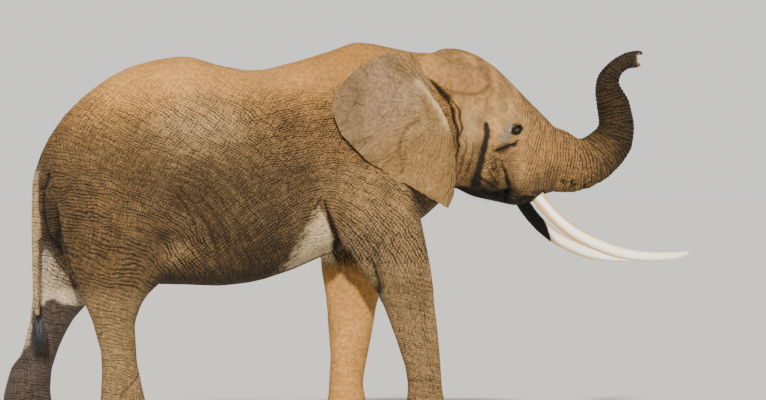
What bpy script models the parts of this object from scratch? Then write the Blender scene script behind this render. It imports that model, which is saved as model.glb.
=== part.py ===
"""A life-size standing African bush elephant bull with its trunk raised, for Blender 4.5.

Run it with: blender --background --python part.py

Units are metres and +Z is up. The elephant looks along +X, so its right side is at -Y. The flesh is
lofted and swelled in one piece, blended by a voxel remesh, and then parted with thin cuts into the named
pieces of the body. Eyes, tusks, toenails and the tail's tassel are pieces of their own that sit in
matching sockets. The finished model is moved so that the floor point under the middle of its bounding
box is the origin.
"""

import math

import bmesh
import bpy
import numpy as np
from mathutils import Matrix, Vector

SHOULDER_HEIGHT = 3.2  # floor to the top of the withers
FORE_STANCE = 0.37  # each forefoot's distance from the middle plane
HIND_STANCE = 0.34  # each hind foot's distance from the middle plane

VOXEL = 0.024  # grid of the remesh that blends the flesh
RING_POINTS = 40  # points round each lofted section
STEPS = 5  # sections between two stated ones
FLESH_TRIANGLES = 2900  # the blended flesh before it is parted
GAP = 0.0003  # clearance between neighbouring pieces
EYE_RADIUS = 0.030

RIGHT, LEFT = -1, 1
SIDE_NAMES = {RIGHT: "right", LEFT: "left"}

# The head is turned a little to the left. The turn grows along the neck between these two X.
HEAD_TURN = 8.0  # degrees
TURN_FROM, TURN_TO = 0.45, 1.00
TURN_PIVOT = 0.65
CHEST_LEVEL, THROAT_LEVEL = 1.45, 1.85  # between these Z the turn fades, to keep the forelegs straight

# Torso and neck sections at X: top, widest level, bottom, half width.
TORSO = (
    (-2.45, 2.10, 1.98, 1.80, 0.05),
    (-2.37, 2.36, 2.02, 1.60, 0.27),
    (-2.21, 2.60, 2.05, 1.36, 0.44),
    (-1.96, 2.83, 2.05, 1.27, 0.58),
    (-1.66, 3.00, 2.05, 1.22, 0.67),
    (-1.25, 3.08, 2.03, 1.21, 0.74),
    (-0.96, 3.01, 2.00, 1.20, 0.78),
    (-0.66, 2.965, 1.97, 1.235, 0.80),
    (-0.36, 3.03, 2.00, 1.33, 0.77),
    (-0.06, 3.12, 2.06, 1.46, 0.69),
    (0.18, SHOULDER_HEIGHT, 2.12, 1.54, 0.60),
    (0.42, 3.165, 2.20, 1.60, 0.51),
    (0.64, 3.12, 2.35, 1.70, 0.44),
    (0.84, 3.10, 2.48, 1.86, 0.38),
    (1.00, 2.95, 2.50, 2.05, 0.28),
)
TORSO_ROOF, TORSO_KEEL = 1.76, 2.30  # under 2 is peaked like a roof, over 2 is squarer

# Head sections at X: top, widest level, bottom, half width.
SKULL = (
    (0.70, 2.95, 2.62, 2.30, 0.18),
    (0.85, 3.135, 2.60, 2.08, 0.33),
    (0.99, 3.150, 2.55, 2.01, 0.39),
    (1.125, 3.120, 2.48, 1.98, 0.41),
    (1.25, 3.055, 2.42, 1.97, 0.40),
    (1.375, 2.962, 2.38, 1.97, 0.375),
    (1.51, 2.828, 2.32, 1.97, 0.345),
    (1.64, 2.700, 2.28, 1.95, 0.315),
    (1.77, 2.575, 2.24, 1.95, 0.285),
    (1.88, 2.44, 2.22, 2.00, 0.19),
)
SKULL_ROOF, SKULL_KEEL = 2.05, 2.3

# Trunk sections: X, Z, half depth in the middle plane, half width across it.
TRUNK = (
    (1.633, 2.270, 0.270, 0.255),
    (1.846, 2.230, 0.266, 0.250),
    (2.019, 2.197, 0.224, 0.222),
    (2.184, 2.242, 0.195, 0.194),
    (2.341, 2.385, 0.173, 0.173),
    (2.380, 2.525, 0.148, 0.150),
    (2.350, 2.690, 0.138, 0.139),
    (2.307, 2.815, 0.110, 0.118),
    (2.309, 2.905, 0.090, 0.101),
    (2.359, 2.980, 0.073, 0.088),
    (2.422, 3.034, 0.067, 0.078),
    (2.493, 3.068, 0.065, 0.073),
    (2.557, 3.072, 0.070, 0.077),
)

# Lower jaw sections: X, Z, half depth, half width.
JAW = (
    (0.990, 2.140, 0.120, 0.200),
    (1.200, 2.035, 0.115, 0.190),
    (1.365, 1.985, 0.100, 0.155),
    (1.490, 1.945, 0.090, 0.115),
    (1.575, 1.910, 0.062, 0.070),
    (1.620, 1.890, 0.022, 0.026),
)

# Limb girths at Z: half length along X, half width along Y.
FORE_GIRTH = (
    (2.45, 0.20, 0.10),
    (2.20, 0.33, 0.17),
    (1.85, 0.385, 0.21),
    (1.68, 0.370, 0.215),
    (1.50, 0.328, 0.203),
    (1.34, 0.293, 0.188),
    (1.19, 0.250, 0.178),
    (1.08, 0.219, 0.167),
    (0.87, 0.191, 0.157),
    (0.70, 0.167, 0.150),
    (0.50, 0.146, 0.142),
    (0.36, 0.143, 0.142),
    (0.25, 0.162, 0.160),
    (0.15, 0.200, 0.195),
    (0.06, 0.226, 0.216),
    (0.00, 0.222, 0.212),
)
HIND_GIRTH = (
    (2.50, 0.28, 0.12),
    (2.20, 0.44, 0.22),
    (1.90, 0.52, 0.28),
    (1.66, 0.53, 0.285),
    (1.39, 0.455, 0.26),
    (1.26, 0.370, 0.235),
    (1.13, 0.270, 0.20),
    (1.05, 0.230, 0.185),
    (0.93, 0.182, 0.168),
    (0.83, 0.163, 0.155),
    (0.67, 0.148, 0.148),
    (0.51, 0.154, 0.150),
    (0.36, 0.172, 0.158),
    (0.25, 0.192, 0.168),
    (0.15, 0.222, 0.185),
    (0.06, 0.245, 0.197),
    (0.00, 0.242, 0.194),
)
TOE_ROW = -2  # the girth row at the toes

# Where each limb's middle runs, as (Z, X) from the shoulder or hip to the sole.
LIMB_LINES = {
    ("fore", RIGHT): (
        (2.45, 0.20), (1.85, 0.24), (1.50, 0.385), (1.19, 0.52),
        (0.87, 0.61), (0.50, 0.688), (0.0, 0.72),
    ),
    ("fore", LEFT): (
        (2.45, 0.22), (1.85, 0.27), (1.50, 0.235), (1.08, 0.18),
        (0.70, 0.158), (0.34, 0.128), (0.0, 0.155),
    ),
    ("hind", RIGHT): (
        (2.50, -1.60), (1.90, -1.74), (1.39, -1.77), (1.05, -1.84),
        (0.67, -1.795), (0.36, -1.765), (0.0, -1.73),
    ),
    ("hind", LEFT): (
        (2.50, -1.65), (1.90, -1.84), (1.39, -2.01), (1.05, -2.24),
        (0.70, -2.385), (0.36, -2.485), (0.0, -2.47),
    ),
}
SHOULDER_SPREAD = 0.44  # each shoulder's and hip's distance from the middle plane
HIP_SPREAD = 0.43
SPREAD_LEVEL = 1.9  # the level at which the limbs stand that far apart

# Masses under the skin: middle, half sizes, turn about Y in degrees. Each is made on both sides.
MASSES = {
    "shoulder_blade": ((0.20, 0.42, 2.38), (0.24, 0.155, 0.50), 12),
    "elbow": ((0.12, 0.44, 1.74), (0.22, 0.17, 0.24), 20),
    "cheekbone": ((1.24, 0.30, 2.36), (0.32, 0.115, 0.13), 14),
    "brow": ((1.40, 0.225, 2.60), (0.17, 0.11, 0.095), 38),
    "ear_base": ((0.74, 0.24, 2.91), (0.20, 0.15, 0.20), 0),
    "temple": ((1.02, 0.26, 2.80), (0.27, 0.145, 0.21), 20),
    "cheek": ((1.22, 0.24, 2.13), (0.22, 0.125, 0.15), 20),
    "lip": ((1.57, 0.185, 2.09), (0.21, 0.155, 0.175), 32),
}
# The heel of the left hind foot, which trails.
TRAILING_HEEL = ((-2.585, 0.345, 0.37), (0.10, 0.13, 0.27), 14)
# Hollows pressed into the blended flesh: middle, radius, depth. Each is made on both sides.
HOLLOWS = {
    "temple_pit": ((1.19, 0.41, 2.61), 0.15, 0.040),
    "behind_shoulder": ((-0.22, 0.78, 2.15), 0.26, 0.040),
    "before_hip": ((-0.98, 0.70, 2.55), 0.26, 0.035),
    "throat": ((1.02, 0.28, 2.06), 0.13, 0.030),
    "under_eye": ((1.37, 0.37, 2.29), 0.08, 0.022),
}

EYE_PLACE = (1.434, 2.478)  # X and Z of each eye's middle
EYE_DEPTH = 0.014  # how far an eye's middle lies under the skin

# Tusk sections: X, distance from the middle plane, Z, radius.
TUSK = (
    (1.455, 0.215, 2.135, 0.050),
    (1.550, 0.240, 2.030, 0.056),
    (1.634, 0.270, 1.925, 0.058),
    (1.746, 0.310, 1.782, 0.0555),
    (1.933, 0.360, 1.622, 0.055),
    (2.198, 0.405, 1.500, 0.0545),
    (2.363, 0.420, 1.457, 0.047),
    (2.526, 0.425, 1.439, 0.042),
    (2.690, 0.417, 1.440, 0.037),
    (2.800, 0.407, 1.449, 0.027),
    (2.865, 0.400, 1.463, 0.020),
)
TUSK_TIP = (2.902, 0.395, 1.479)
TUSK_SET = {RIGHT: (0.0, 0.0, 0.0), LEFT: (-0.004, 0.0, -0.014)}  # the left tusk grows a little lower
SHEATH_SPAN = 3  # how many tusk sections the sheath round the root covers
SHEATH_WALL = 0.046

# Ear edges from the top of the fold round to the lower tip, as X and Z; Y follows from the ear's flare.
EAR_FRONT = (
    (0.60, 3.10), (0.64, 2.97), (0.68, 2.84), (0.745, 2.72), (0.815, 2.60),
    (0.86, 2.46), (0.888, 2.30), (0.898, 2.10), (0.885, 1.94), (0.835, 1.83),
)
EAR_BACK = (
    (0.57, 3.11), (0.40, 3.115), (0.27, 3.075), (0.13, 2.995), (0.02, 2.90), (-0.07, 2.80), (-0.115, 2.68),
    (-0.09, 2.54), (-0.01, 2.40), (0.17, 2.22), (0.345, 2.125), (0.49, 2.02), (0.68, 1.915), (0.825, 1.815),
)
EAR_ROOT_Y = 0.46  # the front edge's distance from the middle plane
EAR_TOP_Y = 0.30  # the same at the top, where the ear folds onto the neck
EAR_FLARE = 0.26  # how much further out the back edge stands
EAR_THICKNESS = 0.030
EAR_ROOT = ((0.655, 0.33, 2.73), (0.085, 0.15, 0.34), -16)  # the mass that carries the flap on the head

# Tail sections: X, Z, half thickness.
TAIL = (
    (-2.24, 2.40, 0.060),
    (-2.355, 2.24, 0.064),
    (-2.422, 2.05, 0.054),
    (-2.446, 1.78, 0.042),
    (-2.452, 1.45, 0.036),
    (-2.445, 1.15, 0.030),
    (-2.435, 0.94, 0.025),
)
TASSEL = (
    (-2.435, 0.937, 0.026), (-2.43, 0.88, 0.040), (-2.42, 0.78, 0.048),
    (-2.41, 0.70, 0.036), (-2.405, 0.64, 0.010),
)

NAIL_HALF = (0.026, 0.046, 0.056)  # a toenail's half thickness, width and height
FORE_NAILS = (-57, -20, 20, 57)  # each nail's bearing from straight ahead, in degrees
HIND_NAILS = (-44, 0, 44)
NAIL_LEVEL = 0.066

COLOURS = {
    "hide": (0.42, 0.31, 0.21),
    "leg": (0.36, 0.27, 0.19),
    "trunk": (0.28, 0.20, 0.14),
    "ear": (0.44, 0.35, 0.27),
    "tusk": (0.86, 0.80, 0.66),
    "nail": (0.52, 0.45, 0.36),
    "eye": (0.07, 0.035, 0.02),
    "tassel": (0.03, 0.028, 0.03),
}
ROUGHNESS = {"tusk": 0.35, "eye": 0.1, "nail": 0.6, "tassel": 0.7}
HIDE_ROUGHNESS = 0.9
LEG_WORDS = ("foot", "leg")


def clear_scene():
    for obj in list(bpy.data.objects):
        bpy.data.objects.remove(obj)


def rows_between(rows, steps=STEPS):
    """Catmull-Rom rows through the given ones, with this many steps to each span."""
    given = np.array(rows, float)
    ends = np.vstack([2 * given[0] - given[1], given, 2 * given[-1] - given[-2]])
    found = []
    for before, start, end, after in zip(ends, ends[1:], ends[2:], ends[3:]):
        for t in np.arange(steps) / steps:
            found.append(
                start
                + 0.5 * t * (end - before)
                + t * t * (before - 2.5 * start + 2 * end - 0.5 * after)
                + t**3 * (1.5 * (start - end) + 0.5 * (after - before))
            )
    return np.array([*found, given[-1]])


def object_of(name, bm):
    mesh = bpy.data.meshes.new(name)
    bmesh.ops.recalc_face_normals(bm, faces=bm.faces)
    bm.to_mesh(mesh)
    bm.free()
    obj = bpy.data.objects.new(name, mesh)
    bpy.context.scene.collection.objects.link(obj)
    return obj


def loft(name, rings):
    """A closed skin through rings of as many points each, with a flat cap at both ends."""
    bm = bmesh.new()
    rows = [[bm.verts.new(point) for point in ring] for ring in rings]
    for one, two in zip(rows, rows[1:]):
        for i in range(len(one)):
            j = (i + 1) % len(one)
            bm.faces.new((one[i], one[j], two[j], two[i]))
    bm.faces.new(rows[0])
    bm.faces.new(rows[-1])
    return object_of(name, bm)


def rounded_power(value, power):
    return math.copysign(abs(value) ** (2 / power), value)


def upright_sections(rows, roof, keel):
    """Rings at X whose upper half follows one superellipse and whose lower half another."""
    rings = []
    for x, top, middle, bottom, half_width in rows_between(rows):
        ring = []
        for i in range(RING_POINTS):
            angle = 2 * math.pi * i / RING_POINTS
            across, up = math.sin(angle), math.cos(angle)
            power = roof if up > 0 else keel
            height = top - middle if up > 0 else middle - bottom
            y = half_width * rounded_power(across, power)
            ring.append((x, y, middle + height * rounded_power(up, power)))
        rings.append(ring)
    return rings


def swept_sections(middles, deep, wide, points=RING_POINTS):
    """Elliptical rings square to a path. deep is the half size in the path's own upright plane."""
    middles = [Vector(m) for m in middles]
    rings = []
    for i, middle in enumerate(middles):
        along = (middles[min(i + 1, len(middles) - 1)] - middles[max(i - 1, 0)]).normalized()
        up = along.cross(Vector((0, 1, 0))).normalized()
        across = up.cross(along).normalized()
        ring = []
        for j in range(points):
            angle = 2 * math.pi * j / points
            ring.append(middle + across * wide[i] * math.cos(angle) + up * deep[i] * math.sin(angle))
        rings.append(ring)
    return rings


def midplane_tube(name, rows, points=RING_POINTS, steps=STEPS):
    """A tube in the middle plane from rows of X, Z, half depth and, if it isn't round, half width."""
    found = rows_between(rows, steps)
    middles = [(row[0], 0, row[1]) for row in found]
    return loft(name, swept_sections(middles, found[:, 2], found[:, -1], points))


def limb(kind, side):
    """One leg as level sections along its own line, with a flat sole at Z 0."""
    girth, stance, spread = (
        (FORE_GIRTH, FORE_STANCE, SHOULDER_SPREAD)
        if kind == "fore"
        else (HIND_GIRTH, HIND_STANCE, HIP_SPREAD)
    )
    line = rows_between(LIMB_LINES[kind, side])[::-1]
    rings = []
    for z, half_length, half_width in rows_between(girth):
        x = np.interp(z, line[:, 0], line[:, 1])
        reach = min(1.0, max(0.0, z / SPREAD_LEVEL))
        y = side * (stance + (spread - stance) * reach * reach)
        rings.append(
            [
                (x + half_length * math.cos(a), y + half_width * math.sin(a), z)
                for a in np.linspace(0, 2 * math.pi, RING_POINTS, endpoint=False)
            ]
        )
    return loft(f"{kind}_{SIDE_NAMES[side]}", rings)


def foot_middle(kind, side):
    stance = FORE_STANCE if kind == "fore" else HIND_STANCE
    return Vector((LIMB_LINES[kind, side][-1][1], side * stance, 0))


def mass(name, middle, half, turn, segments=24):
    """An ellipsoid turned about Y, nose down for a positive turn."""
    bm = bmesh.new()
    bmesh.ops.create_uvsphere(bm, u_segments=segments, v_segments=segments // 2, radius=1.0)
    bm.transform(
        Matrix.Translation(middle) @ Matrix.Rotation(math.radians(turn), 4, "Y") @ Matrix.Diagonal((*half, 1))
    )
    return object_of(name, bm)


def on_side(point, side):
    return Vector((point[0], side * point[1], point[2]))


def tusk_sections(side, steps, points, last=None, wider=0.0):
    rows = rows_between(TUSK[:last], steps)
    middles = [on_side(row, side) + Vector(TUSK_SET[side]) for row in rows]
    radii = rows[:, 3] + wider
    return swept_sections(middles, radii, radii, points)


def tusk(name, side):
    """A tusk from its root, in the sheath, to a blunt worn tip."""
    rings = tusk_sections(side, steps=2, points=9)
    tip = on_side(TUSK_TIP, side) + Vector(TUSK_SET[side])
    rings.append([tip + (Vector(point) - tip) * 0.35 for point in rings[-1]])
    return loft(name, rings)


def joined(name, objects):
    """One mesh that holds these objects' faces. The objects are removed."""
    bm = bmesh.new()
    for obj in objects:
        bm.from_mesh(obj.data)
        bpy.data.objects.remove(obj)
    return object_of(name, bm)


def points_of(obj):
    return np.array([vertex.co[:] for vertex in obj.data.vertices])


def normals_of(obj):
    return np.array([vertex.normal[:] for vertex in obj.data.vertices])


def move_points(obj, places):
    obj.data.vertices.foreach_set("co", places.ravel())
    obj.data.update()


def smooth_rise(value, low, high):
    t = np.clip((value - low) / (high - low), 0, 1)
    return t * t * (3 - 2 * t)


def turned(obj):
    """Turns the head and all it carries about the neck, and leaves the body as it is."""
    places = points_of(obj)
    level = smooth_rise(places[:, 2], CHEST_LEVEL, THROAT_LEVEL)
    level = np.maximum(level, smooth_rise(places[:, 0], TURN_TO, TURN_TO + 0.2))
    angle = math.radians(HEAD_TURN) * level * smooth_rise(places[:, 0], TURN_FROM, TURN_TO)
    x, y = places[:, 0] - TURN_PIVOT, places[:, 1].copy()
    places[:, 0] = TURN_PIVOT + x * np.cos(angle) - y * np.sin(angle)
    places[:, 1] = x * np.sin(angle) + y * np.cos(angle)
    move_points(obj, places)
    return obj


def turned_way(way):
    """A direction of the straight head as it is on the turned one."""
    return Matrix.Rotation(math.radians(HEAD_TURN), 3, "Z") @ Vector(way)


def turned_point(point):
    pivot = Vector((TURN_PIVOT, 0, 0))
    return pivot + turned_way(Vector(point) - pivot)


def applied(obj):
    """The object with its modifiers made part of its mesh."""
    graph = bpy.context.evaluated_depsgraph_get()
    mesh = bpy.data.meshes.new_from_object(obj.evaluated_get(graph), depsgraph=graph)
    obj.modifiers.clear()
    obj.data = mesh
    return obj


def blended(obj, voxel, rounds):
    """Overlapping closed shapes made one, with their meetings softened. Thin ends are softened less."""
    remesh = obj.modifiers.new("blend", "REMESH")
    remesh.mode = "VOXEL"
    remesh.voxel_size = voxel
    applied(obj)
    group = obj.vertex_groups.new(name="soft")
    for vertex in obj.data.vertices:
        slender = vertex.co.x > TRUNK[2][0] or vertex.co.x < TAIL[2][0] + 0.07
        foot = vertex.co.z < FORE_GIRTH[10][0]
        group.add([vertex.index], 0.15 if slender else 0.4 if foot else 1.0, "REPLACE")
    smooth = obj.modifiers.new("soften", "SMOOTH")
    smooth.factor = 0.5
    smooth.iterations = rounds
    smooth.vertex_group = "soft"
    return applied(obj)


def press_hollows(obj):
    """Moves the flesh in along its normals near each hollow's middle."""
    places, normals = points_of(obj), normals_of(obj)
    for middle, radius, depth in HOLLOWS.values():
        for side in (RIGHT, LEFT):
            reach = ((places - np.array(on_side(middle, side))) ** 2).sum(axis=1) / radius**2
            places -= normals * (depth * np.exp(-reach))[:, None]
    move_points(obj, places)


def flatten_soles(obj, below):
    places = points_of(obj)
    places[places[:, 2] < below, 2] = 0.0
    move_points(obj, places)


def thinned(obj, triangles):
    obj.data.calc_loop_triangles()
    thin = obj.modifiers.new("thin", "DECIMATE")
    thin.ratio = triangles / len(obj.data.loop_triangles)
    return applied(obj)


def flesh():
    """The whole body without eyes, tusks, ears, toenails and tassel."""
    shapes = [
        loft("torso", upright_sections(TORSO, TORSO_ROOF, TORSO_KEEL)),
        loft("skull", upright_sections(SKULL, SKULL_ROOF, SKULL_KEEL)),
        midplane_tube("trunk", TRUNK),
        midplane_tube("jaw", JAW),
        midplane_tube("tail", TAIL),
        finger("upper_finger", 0.052, 0.030, -8),
        finger("lower_finger", -0.056, 0.006, 24),
        mass("trailing_heel", *TRAILING_HEEL),
    ]
    for side in (RIGHT, LEFT):
        shapes += [limb("fore", side), limb("hind", side)]
        shapes += [mass(name, on_side(at, side), half, turn) for name, (at, half, turn) in MASSES.items()]
        shapes.append(loft("sheath", tusk_sections(side, STEPS, RING_POINTS, SHEATH_SPAN, SHEATH_WALL)))
    body = blended(joined("flesh", shapes), VOXEL, 14)
    press_hollows(body)
    flatten_soles(body, VOXEL)
    thinned(body, FLESH_TRIANGLES)
    flatten_soles(body, VOXEL / 4)
    open_tip(body)
    return turned(body)


def trunk_end():
    """The middle of the trunk's open end and the direction in which it points."""
    end, before = TRUNK[-1], TRUNK[-2]
    along = Vector((end[0] - before[0], 0, end[1] - before[1])).normalized()
    return Vector((end[0], 0, end[1])), along


def finger(name, up, forward, tilt):
    """One of the two fingers at the trunk's tip, this far up from its middle, nose up if tilted."""
    end, along = trunk_end()
    middle = end + along.cross(Vector((0, -1, 0))) * -up + along * forward
    turn = -math.degrees(math.atan2(along.z, along.x)) - tilt
    return mass(name, middle, (0.050, 0.036, 0.021), turn)


def open_tip(body):
    """Opens the trunk's end with a dished face and the start of its two nostrils."""
    end, along = trunk_end()
    turn = -math.degrees(math.atan2(along.z, along.x))
    for side, half, back in (
        (0, (0.034, 0.056, 0.048), -0.014),
        (RIGHT, (0.085, 0.021, 0.026), 0.030),
        (LEFT, (0.085, 0.021, 0.026), 0.030),
    ):
        middle = end - along * back + Vector((0, side * 0.028, 0))
        cutter = mass("opening", middle, half, turn, segments=10)
        boolean(body, cutter, "DIFFERENCE")
        bpy.data.objects.remove(cutter)


def boolean(obj, other, operation):
    cut = obj.modifiers.new(operation.lower(), "BOOLEAN")
    cut.operation = operation
    cut.object = other
    return applied(obj)


def copy_of(obj, name):
    made = bpy.data.objects.new(name, obj.data.copy())
    bpy.context.scene.collection.objects.link(made)
    return made


def grown(obj, by):
    """A copy of the object with its surface moved out."""
    made = copy_of(obj, obj.name + "_grown")
    move_points(made, points_of(made) + normals_of(made) * by)
    return made


def half_of(obj, name, point, normal):
    """A copy of what lies behind a plane, closed by a flat face, kept clear of the plane by half the gap."""
    made = copy_of(obj, name)
    bm = bmesh.new()
    bm.from_mesh(made.data)
    geometry = [*bm.verts, *bm.edges, *bm.faces]
    behind = Vector(point) - Vector(normal) * GAP / 2
    bmesh.ops.bisect_plane(bm, geom=geometry, plane_co=behind, plane_no=normal, clear_outer=True)
    bmesh.ops.holes_fill(bm, edges=[edge for edge in bm.edges if edge.is_boundary], sides=0)
    bmesh.ops.triangulate(bm, faces=[face for face in bm.faces if len(face.verts) > 4])
    bmesh.ops.recalc_face_normals(bm, faces=bm.faces)
    bm.to_mesh(made.data)
    bm.free()
    return made


def part_at(obj, name, point, normal):
    """Cuts off what lies beyond a plane as a new piece, and returns what is left and the new piece."""
    normal = Vector(normal).normalized()
    kept = half_of(obj, obj.name + "_kept", point, normal)
    beyond = half_of(obj, name, point, -normal)
    kept_name = obj.name
    bpy.data.objects.remove(obj)
    kept.name = kept_name
    return kept, beyond


def part_by(obj, name, inside):
    """Cuts what lies inside a closed cutter out of an object as a new piece, and returns the piece."""
    beyond = copy_of(obj, name)
    boolean(beyond, inside, "INTERSECT")
    outside = grown(inside, GAP)
    boolean(obj, outside, "DIFFERENCE")
    bpy.data.objects.remove(inside)
    bpy.data.objects.remove(outside)
    return beyond


def upright_box(low, high):
    """A box between two corners."""
    low, high = Vector(low), Vector(high)
    bm = bmesh.new()
    place = Matrix.Translation((low + high) / 2) @ Matrix.Diagonal((*(high - low), 1))
    bmesh.ops.create_cube(bm, size=1.0, matrix=place)
    return object_of("box", bm)


def ear_edge(rows, v):
    """The X and Z of an ear's edge where v runs from its top, 0, to its lower tip, 1."""
    at = np.linspace(0, 1, len(rows))
    return np.array([np.interp(v, at, rows[:, 0]), np.interp(v, at, rows[:, 1])])


def ear_point(u, v, side, front, back):
    """A point of the ear's middle sheet: u runs from front edge to back, v from the top to the tip."""
    start, end = ear_edge(front, v), ear_edge(back, v)
    x, z = start + (end - start) * u
    root = EAR_TOP_Y + (EAR_ROOT_Y - EAR_TOP_Y) * float(smooth_rise(v, 0.0, 0.30))
    flare = EAR_FLARE * (1 - (1 - u) ** 2) * math.sin(math.pi * min(1.0, 0.10 + 0.86 * v))
    fold = 0.014 * math.sin(7.0 * u + 5.0 * v) * u * (1 - v)
    return Vector((x, side * (root + flare + fold), z))


def ear(side):
    """A thin curved flap, thickest along its front edge, with a root that carries it on the head."""
    across, down = 6, 10
    front, back = rows_between(EAR_FRONT, 6), rows_between(EAR_BACK, 6)
    bm = bmesh.new()
    layers = []
    for layer in (-1, 1):
        grid = []
        for j in range(down + 1):
            v = j / down
            row = []
            for i in range(across + 1):
                u = i / across
                rim = min(1.0, 4 * min(u, 1 - u) + 0.25) * min(1.0, 6 * min(v, 1 - v) + 0.25)
                half = EAR_THICKNESS / 2 * (1.5 - u) * rim
                place = ear_point(u, v, side, front, back) + Vector((0, layer * half, 0))
                row.append(bm.verts.new(place))
            grid.append(row)
        layers.append(grid)
        for j in range(down):
            for i in range(across):
                bm.faces.new((grid[j][i], grid[j][i + 1], grid[j + 1][i + 1], grid[j + 1][i]))
    inner, outer = layers
    rim = [(0, i) for i in range(across)] + [(j, across) for j in range(down)]
    rim += [(down, i) for i in range(across, 0, -1)] + [(j, 0) for j in range(down, 0, -1)]
    for (j, i), (k, m) in zip(rim, rim[1:] + rim[:1]):
        bm.faces.new((inner[j][i], inner[k][m], outer[k][m], outer[j][i]))
    flap = object_of(f"ear_{SIDE_NAMES[side]}", bm)
    root = mass("ear_root", on_side(*EAR_ROOT[:1], side), *EAR_ROOT[1:], segments=10)
    boolean(flap, root, "UNION")
    bpy.data.objects.remove(root)
    return turned(flap)


def eye_middle(body, side):
    """The eye's middle, just under the skin beside the stated X and Z."""
    start = turned_point((EYE_PLACE[0], side * 1.0, EYE_PLACE[1]))
    _, place, normal, _ = body.ray_cast(start, turned_way((0, -side, 0)))
    return place - normal * EYE_DEPTH


def nail(name, foot, half_length, half_width, bearing, room=0.0):
    """One toenail on the rim of an oval foot, leaning back with the foot's slope."""
    angle = math.radians(bearing)
    place = foot + Vector((half_length * math.cos(angle), half_width * math.sin(angle), NAIL_LEVEL))
    bm = bmesh.new()
    bmesh.ops.create_uvsphere(bm, u_segments=8, v_segments=4, radius=1.0)
    half = [size + room for size in NAIL_HALF]
    outward = math.atan2(math.sin(angle) / half_width, math.cos(angle) / half_length)
    bm.transform(
        Matrix.Translation(place)
        @ Matrix.Rotation(outward, 4, "Z")
        @ Matrix.Rotation(math.radians(-12), 4, "Y")
        @ Matrix.Diagonal((*half, 1))
    )
    return object_of(name, bm)


def seat(piece, socket, host):
    """Cuts the socket, a slightly larger copy of the piece, out of its host."""
    boolean(host, socket, "DIFFERENCE")
    bpy.data.objects.remove(socket)
    return piece


def part_limbs(body):
    """Parts the legs from the torso in three lengths each, and returns them by name."""
    limbs = {
        ("forefoot", "foreleg_lower", "foreleg_upper"): ((-0.11, 1.02), (0.36, 0.86, 1.38)),
        ("hindfoot", "hindleg_lower", "hindleg_upper"): ((-2.80, -1.26), (0.38, 0.76, 1.17)),
    }
    pieces = {}
    for names, ((back, front), tops) in limbs.items():
        for side in (RIGHT, LEFT):
            bottom = -0.1
            for top, name in zip(tops, names):
                across = sorted((side * 0.10, side * 1.2))
                box = upright_box((back, across[0], bottom), (front, across[1], top))
                made = part_by(body, f"{name}_{SIDE_NAMES[side]}", box)
                pieces[made.name] = made
                bottom = top + GAP
    return pieces


def part_trunk(head):
    """Parts the trunk's lengths from the head with cuts square to its line, and returns the head."""
    rest = head
    for name, row in (("base", 1), ("bend", 3), ("upper", 6), ("tip", 10)):
        x, z = TRUNK[row][:2]
        after, before = TRUNK[row + 1], TRUNK[row - 1]
        along = turned_way((after[0] - before[0], 0, after[1] - before[1]))
        kept, rest = part_at(rest, f"trunk_{name}", turned_point((x, 0, z)), along)
        if name == "base":
            head = kept
    return head


def jaw_cutter():
    """A wedge under the mouth line that tapers forward between the tusk sheaths."""
    rings = []
    for x, half_width, top in ((0.86, 0.40, 2.17), (1.26, 0.25, 2.05), (1.66, 0.10, 1.93)):
        corners = ((-half_width, 1.6), (half_width, 1.6), (half_width, top), (-half_width, top))
        rings.append([turned_point((x, y, z)) for y, z in corners])
    return loft("wedge", rings)


def colour_key(name):
    for key in ("tusk", "nail", "eye", "tassel", "trunk", "ear"):
        if key in name.split("_"):
            return key
    return "leg" if any(word in name for word in LEG_WORDS) else "hide"


def dress(obj):
    key = colour_key(obj.name)
    made = bpy.data.materials.new(f"{obj.name}_{key}")
    made.use_nodes = True
    shader = made.node_tree.nodes["Principled BSDF"]
    shader.inputs["Base Color"].default_value = (*COLOURS[key], 1)
    shader.inputs["Roughness"].default_value = ROUGHNESS.get(key, HIDE_ROUGHNESS)
    shader.inputs["Metallic"].default_value = 0.0
    obj.data.materials.clear()
    obj.data.materials.append(made)
    obj.data.shade_smooth()


def set_on_origin(objects):
    """Puts the floor point under the middle of the model's bounding box at the origin."""
    places = np.vstack([points_of(obj) for obj in objects])
    low, high = places.min(axis=0), places.max(axis=0)
    shift = Vector(((low[0] + high[0]) / 2, (low[1] + high[1]) / 2, low[2]))
    for obj in objects:
        obj.data.transform(Matrix.Translation(-shift))


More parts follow.
